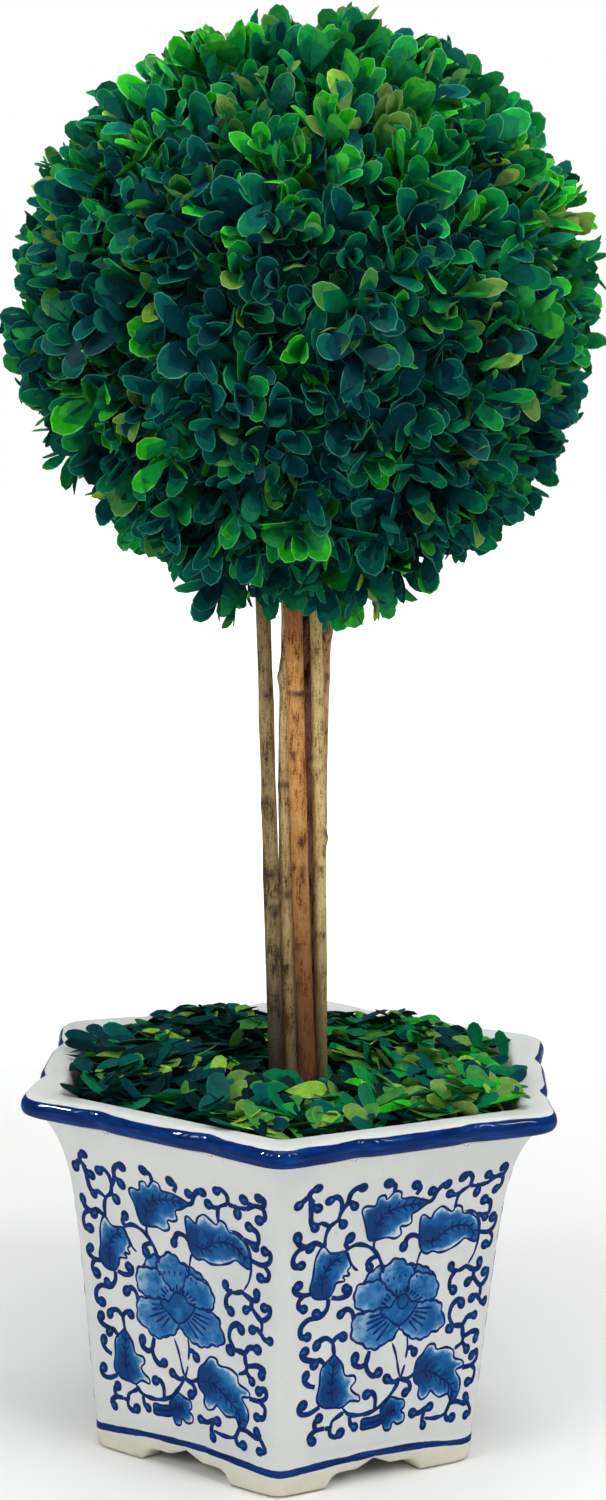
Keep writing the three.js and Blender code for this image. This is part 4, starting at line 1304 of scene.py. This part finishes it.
def grow_sprigs():
    """All leaves of the ball, with the sprig that each grows on, and the twigs."""
    ways, turns, reaches = sprig_places(SPRIGS)
    rng = np.random.default_rng(BALL_SEED)
    lumps = np.array([noise.noise(Vector(way * 3.4)) for way in ways])
    reaches = np.minimum(reaches + REACH_LUMPS * lumps, BALL_RADIUS) + TIPS_OUT
    side = turn_about(square_to(ways), ways, turns)
    sway = rng.normal(0, 0.15, (2, SPRIGS, 1))
    lean = unit(ways + side * sway[0] + np.cross(ways, side) * sway[1])
    side = squared(side, lean)
    other = np.cross(lean, side)
    size = rng.uniform(0.82, 1.14, SPRIGS)
    skirt = SKIRT_DROP * smooth_step(-ways[:, 2], 0.86, 0.97)
    limit = BALL_RADIUS + TIPS_OUT + skirt
    _, tip_opening, tip_length = LEAF_PAIRS[0]
    whorl = reaches + skirt - tip_length * size * math.cos(tip_opening)
    foot = BALL_CENTRE + ways * TWIG_START
    top = BALL_CENTRE + ways * whorl[:, None]
    axis = unit(top - foot)
    leaves = []
    for index, (back, opening, length) in enumerate(LEAF_PAIRS):
        for half in (0, 1):
            turn = rng.normal(0, 0.16, SPRIGS) + half * math.pi + index * math.pi / 2
            facing = side * np.cos(turn)[:, None] + other * np.sin(turn)[:, None]
            open_angle = np.clip(opening + rng.normal(0, 0.19, SPRIGS), 0.06, 1.5)[:, None]
            along = unit(lean * np.cos(open_angle) + facing * np.sin(open_angle))
            across = turn_about(unit(np.cross(lean, facing)), along, rng.normal(0, 0.5, SPRIGS))
            roots = top - axis * (back + rng.uniform(-0.8, 0.8, SPRIGS))[:, None] + along * 0.6
            lengths = length * size * rng.uniform(0.84, 1.12, SPRIGS)
            habits = leaf_habits(rng, SPRIGS, (0.82, 1.18), (0.2, 0.18), (-0.05, 0.17), 0.3)
            leaves.append(leaf_points(roots, along, squared(across, along), lengths, *habits))
    owners = np.tile(np.arange(SPRIGS), len(leaves))
    leaves = np.concatenate(leaves)
    reach = np.linalg.norm(leaves - BALL_CENTRE, axis=2).max(1)
    fits = (reach < limit[owners]) & (stem_clearance(leaves).min(1) > LEAF_GAP)
    # Painted light: sprigs on the top and the right of the ball, where the light falls, are dealt paler
    # tints, and the others darker ones
    sunny = smooth_step(0.76 * ways[:, 2] + 0.32 * ways[:, 0], -0.25, 0.85)
    return leaves[fits], owners[fits], foot, top, sunny, rng


def grow_inner_leaves(rng):
    """Leaves low on the sprigs, which close the gaps between them and hide the core."""
    ways = unit(rng.normal(0, 1, (INNER_LEAVES, 3)))
    flat = unit(np.cross(ways, rng.normal(0, 1, (INNER_LEAVES, 3))))
    along = unit(flat + ways * rng.uniform(-0.1, 0.7, (INNER_LEAVES, 1)))
    across = turn_about(unit(np.cross(ways, along)), along, rng.normal(0, 0.4, INNER_LEAVES))
    lengths = rng.uniform(14, 17.5, INNER_LEAVES)
    places = BALL_CENTRE + ways * rng.uniform(INNER_LOW, INNER_HIGH, (INNER_LEAVES, 1))
    habits = leaf_habits(rng, INNER_LEAVES, (0.85, 1.15), (0.15, 0.15), (-0.1, 0.1), 0.2)
    leaves = leaf_points(places - along * lengths[:, None] * 0.4, along, across, lengths, *habits)
    return leaves[stem_clearance(leaves).min(1) > LEAF_GAP]


def twig_piece(name, feet, tops, radius, finish):
    """Thin four-sided twigs from foot to top, tapering to a point."""
    axis = unit(tops - feet)
    side = square_to(axis)
    other = np.cross(axis, side)
    points = []
    for place, share in ((feet, 1.0), ((feet + tops) / 2, 0.8)):
        for turn in np.arange(4) * math.pi / 2:
            points.append(place + (side * math.cos(turn) + other * math.sin(turn)) * radius * share)
    faces = [[3, 2, 1, 0]]
    for k, j in ((0, 1), (1, 2), (2, 3), (3, 0)):
        faces += [[k, j, 4 + j, 4 + k], [4 + k, 4 + j, 8]]
    joined = [[i * 9 + v for v in face] for i in range(len(feet)) for face in faces]
    return piece_from(name, np.stack([*points, tops], 1), joined, [finish])


def make_ball(finishes):
    leaves, owners, feet, tops, sunny, rng = grow_sprigs()
    tint = deal_tints(sunny, BALL_SHADED, BALL_SUNNY, rng)[owners]
    changed = rng.uniform(size=len(tint)) < STRAY_TINTS
    tint = np.where(changed, deal_tints(sunny[owners], BALL_SHADED, BALL_SUNNY, rng), tint)
    inner = grow_inner_leaves(rng)
    # Painted shade: the leaves deep inside the ball take only the night and dark tints
    inner_tint = rng.choice([TINT_NAMES.index(name) for name in ("night", "dark")], len(inner))
    leaves, tint = np.concatenate([leaves, inner]), np.concatenate([tint, inner_tint])
    # Painted shade: the foot half of each ball leaf takes the upper side and underside of its darker foot
    # tint
    keep_leaves("ball_leaves", "ball", leaves, tint, lambda n: finishes[n] + finishes[TINTS[n][3]][:2])

    twig_bark = Finish("twig_bark", Roughness=0.7, Specular_IOR_Level=0.02)
    twig_bark.two_tone(600, srgb(40, 46, 24), srgb(84, 78, 42))
    clear = stem_clearance(np.linspace(feet, tops, 9, axis=1)).min(1) > TWIG_GAP
    twigs = twig_piece("ball_twigs", feet[clear], tops[clear], TWIG_RADIUS, twig_bark)
    keep(twigs, "ball_leaves", "ball")

    # Core of the ball: a rough sphere inside the sprigs; its dark teal colour is painted shade, seen in
    # the gaps between them
    bpy.ops.object.select_all(action="DESELECT")
    middle = BALL_CENTRE * MM
    bpy.ops.mesh.primitive_ico_sphere_add(
        subdivisions=5, radius=CORE_RADIUS * MM, location=middle.tolist()
    )
    core = bpy.context.object
    core.name = "ball_core"
    bpy.ops.object.transform_apply(location=True, rotation=True, scale=True)
    for vertex in core.data.vertices:
        rough = noise.noise(vertex.co * 180) * 0.0022 + noise.noise(vertex.co * 420) * 0.0012
        vertex.co += (vertex.co - Vector(middle)).normalized() * rough
    core_shade = Finish("ball_core_painted_shade", Roughness=0.9, Specular_IOR_Level=0.0)
    core_shade.two_tone(300, srgb(2, 70, 70), srgb(4, 100, 88), detail=5)
    core_shade.relief(core_shade.noise(500, detail=4), 0.0015)
    core.data.materials.append(core_shade.material)
    bpy.ops.object.shade_smooth()
    keep(core, "ball_leaves", "ball")


# Leaf bed


def heap_peaks(x, y):
    return sum(tall * bump(np.hypot(x - a, y - b), reach) for a, b, reach, tall in HEAP_PEAKS)


def bed_height(x, y):
    """Height of the heap of leaves: low round the stems, and higher behind and at the sides."""
    out = np.minimum(1, hexagon_reach(x, y) / inner_apothem(HEAP_EDGE))
    height = HEAP_CROWN - (HEAP_CROWN - HEAP_EDGE) * out**3
    height = height - HEAP_DIP * bump(np.hypot(x - DIP_MIDDLE[0], y - DIP_MIDDLE[1]), DIP_REACH)
    height = height + heap_peaks(x, y)
    left = smooth_step(-x, 42, 70) * smooth_step(y, -42, -10) * (1 - smooth_step(y, 12, 36))
    right = smooth_step(x, 48, 70) * (1 - smooth_step(y, -5, 18))
    return height + HEAP_RISE_LEFT * left + HEAP_RISE_RIGHT * right


def scatter_leaves(rng, amount, nearest):
    """Loose leaves that lie on the heap like scales, from a distance from the middle to the wall."""
    tries = amount * 9
    x, y = rng.uniform(-OPENING * 1.15, OPENING * 1.15, (2, tries))
    reach = hexagon_reach(x, y)
    leaning = rng.uniform(0, 1, tries) < LEANING_SHARE
    inward = np.arctan2(-y, -x) + rng.normal(0, 0.75, tries)
    lying = rng.uniform(0, 2 * math.pi, tries)
    lying = lying - 0.35 * np.sin(2 * lying)
    heading = np.where(leaning, inward, lying)
    rise = np.where(leaning, rng.uniform(0.15, 0.85, tries), rng.uniform(-0.06, 0.38, tries))
    along = np.stack([np.cos(heading) * np.cos(rise), np.sin(heading) * np.cos(rise), np.sin(rise)], 1)
    flat = np.stack([-np.sin(heading), np.cos(heading), np.zeros(tries)], 1)
    across = turn_about(flat, along, rng.normal(0, 0.26, tries))
    stack = rng.uniform(0, 1, tries) ** 1.3 * STACK_HEIGHT
    length = rng.uniform(13.5, 18.5, tries)
    habits = leaf_habits(rng, tries, (0.74, 1.04), (0.12, 0.2), (-0.03, 0.2), 0.22)
    root = np.stack([x, y, bed_height(x, y) - 0.4 + stack], 1) - along * length[:, None] * 0.5
    leaves = leaf_points(root, along, across, length, *habits)
    spread = hexagon_reach(leaves[..., 0], leaves[..., 1])
    front = smooth_step(-leaves[..., 1], -35, 30)
    room_above = HEAP_ROOM_BACK + (HEAP_ROOM_FRONT - HEAP_ROOM_BACK) * front
    room_above = room_above + 1.4 * heap_peaks(leaves[..., 0], leaves[..., 1])
    ceiling = POT_HEIGHT + room_above + 9 * np.clip(1 - spread / OPENING, 0, 1)
    over = leaves[..., 2] > POT_HEIGHT + 0.4
    room = np.where(over, OPENING + OVERHANG, mouth_apothem(leaves[..., 2]) - 0.4)
    fits = (spread < room).all(1) & (leaves[..., 2] < ceiling).all(1)
    fits &= stem_clearance(leaves).min(1) > BED_LEAF_GAP
    fits &= (reach > nearest) & (reach < OPENING + 2)
    fits &= np.hypot(x - LAID_CLEAR[0], y - LAID_CLEAR[1]) > LAID_CLEAR_REACH
    fits &= np.cumsum(fits) <= amount
    return leaves[fits], x[fits], y[fits]


def mouth_apothem(z):
    """Inside of the pot at a height, up to the rounded edge of its opening."""
    narrow = OPENING - MOUTH_INWARD
    bead = narrow + 1.6 * smooth_step(z, MOUTH_HEIGHT, POT_HEIGHT - 0.4)
    return np.where(z < MOUTH_HEIGHT, np.minimum(inner_apothem(z), narrow), bead)


def make_bed(finishes):
    t, angle = side_stations(16)
    edge = inner_apothem(HEAP_EDGE) - WALL_ROOM
    rings = [(20, BED_FOOT), (50, BED_FOOT), (inner_apothem(BED_FOOT) - WALL_ROOM, BED_FOOT)]
    rings += [(apothem, None) for apothem in (edge, edge - BED_SHOULDER, 58, 46, 34, 22, 10)]
    outlines = []
    for apothem, z in rings:
        outline = polar(hexagon_radius(angle, apothem, WALL_ROUNDING), angle, z or 0.0)
        if z is None:
            outline[:, 2] = bed_height(outline[:, 0], outline[:, 1]) - LITTER_DEPTH
        outlines.append(outline)
    mound = pull_up("bed_litter", outlines)
    # The heap under the loose leaves is coloured near-black green, painted shade in the gaps between them
    litter_shade = Finish("leaf_litter_painted_shade", Roughness=0.9, Specular_IOR_Level=0.0)
    litter_shade.two_tone(260, srgb(3, 20, 16), srgb(12, 44, 26), detail=5)
    litter_shade.relief(litter_shade.noise(400, detail=4), 0.0015)
    mound.data.materials.append(litter_shade.material)
    keep(mound, "bed_leaves", "leaf_bed")

    rng = np.random.default_rng(BED_SEED)
    parts = [scatter_leaves(rng, BED_LEAVES, 0), scatter_leaves(rng, BED_EDGE_LEAVES, BED_EDGE_START)]
    leaves, x, y = (np.concatenate(part) for part in zip(*parts))
    # Painted light: leaves further right, and to a lesser degree further to the front, are dealt paler
    # tints, and those to the left and back darker ones
    tint = deal_tints(smooth_step(x - 0.25 * y, -40, 62), BED_SHADED, BED_SUNNY, rng)
    *placed, names = zip(*PLACED_LEAVES)
    feet, along, behind, lengths, widths = (np.array(part) for part in placed)
    along = unit(along)
    few = np.zeros(len(names))
    across = unit(np.cross(along, behind))
    placed = leaf_points(feet, along, across, lengths, widths, few + 0.15, few + 0.1, few)
    leaves = np.concatenate([leaves, placed])
    tint = np.concatenate([tint, [TINT_NAMES.index(name) for name in names]])

    def sides(name):
        upper, under, _ = finishes[name]
        return [upper, under, under, upper, under]

    keep_leaves("bed_leaves", "leaf_bed", leaves, tint, sides)


def make_filler():
    plaster = Finish("plaster", Roughness=0.95)
    plaster.relief(plaster.two_tone(400, srgb(150, 144, 132), srgb(186, 180, 168), detail=4), 0.0006)
    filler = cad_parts["filler"]
    filler.data.materials.clear()
    filler.data.materials.append(plaster.material)


set_up_studio()
make_pot()
make_stems()
leaf_finishes = {
    name: [leaf_finish(f"leaf_{name}_{part}", srgb(*tint[k])) for k, part in enumerate(LEAF_SIDES)]
    for name, tint in TINTS.items()
}
make_ball(leaf_finishes)
make_bed(leaf_finishes)
make_filler()
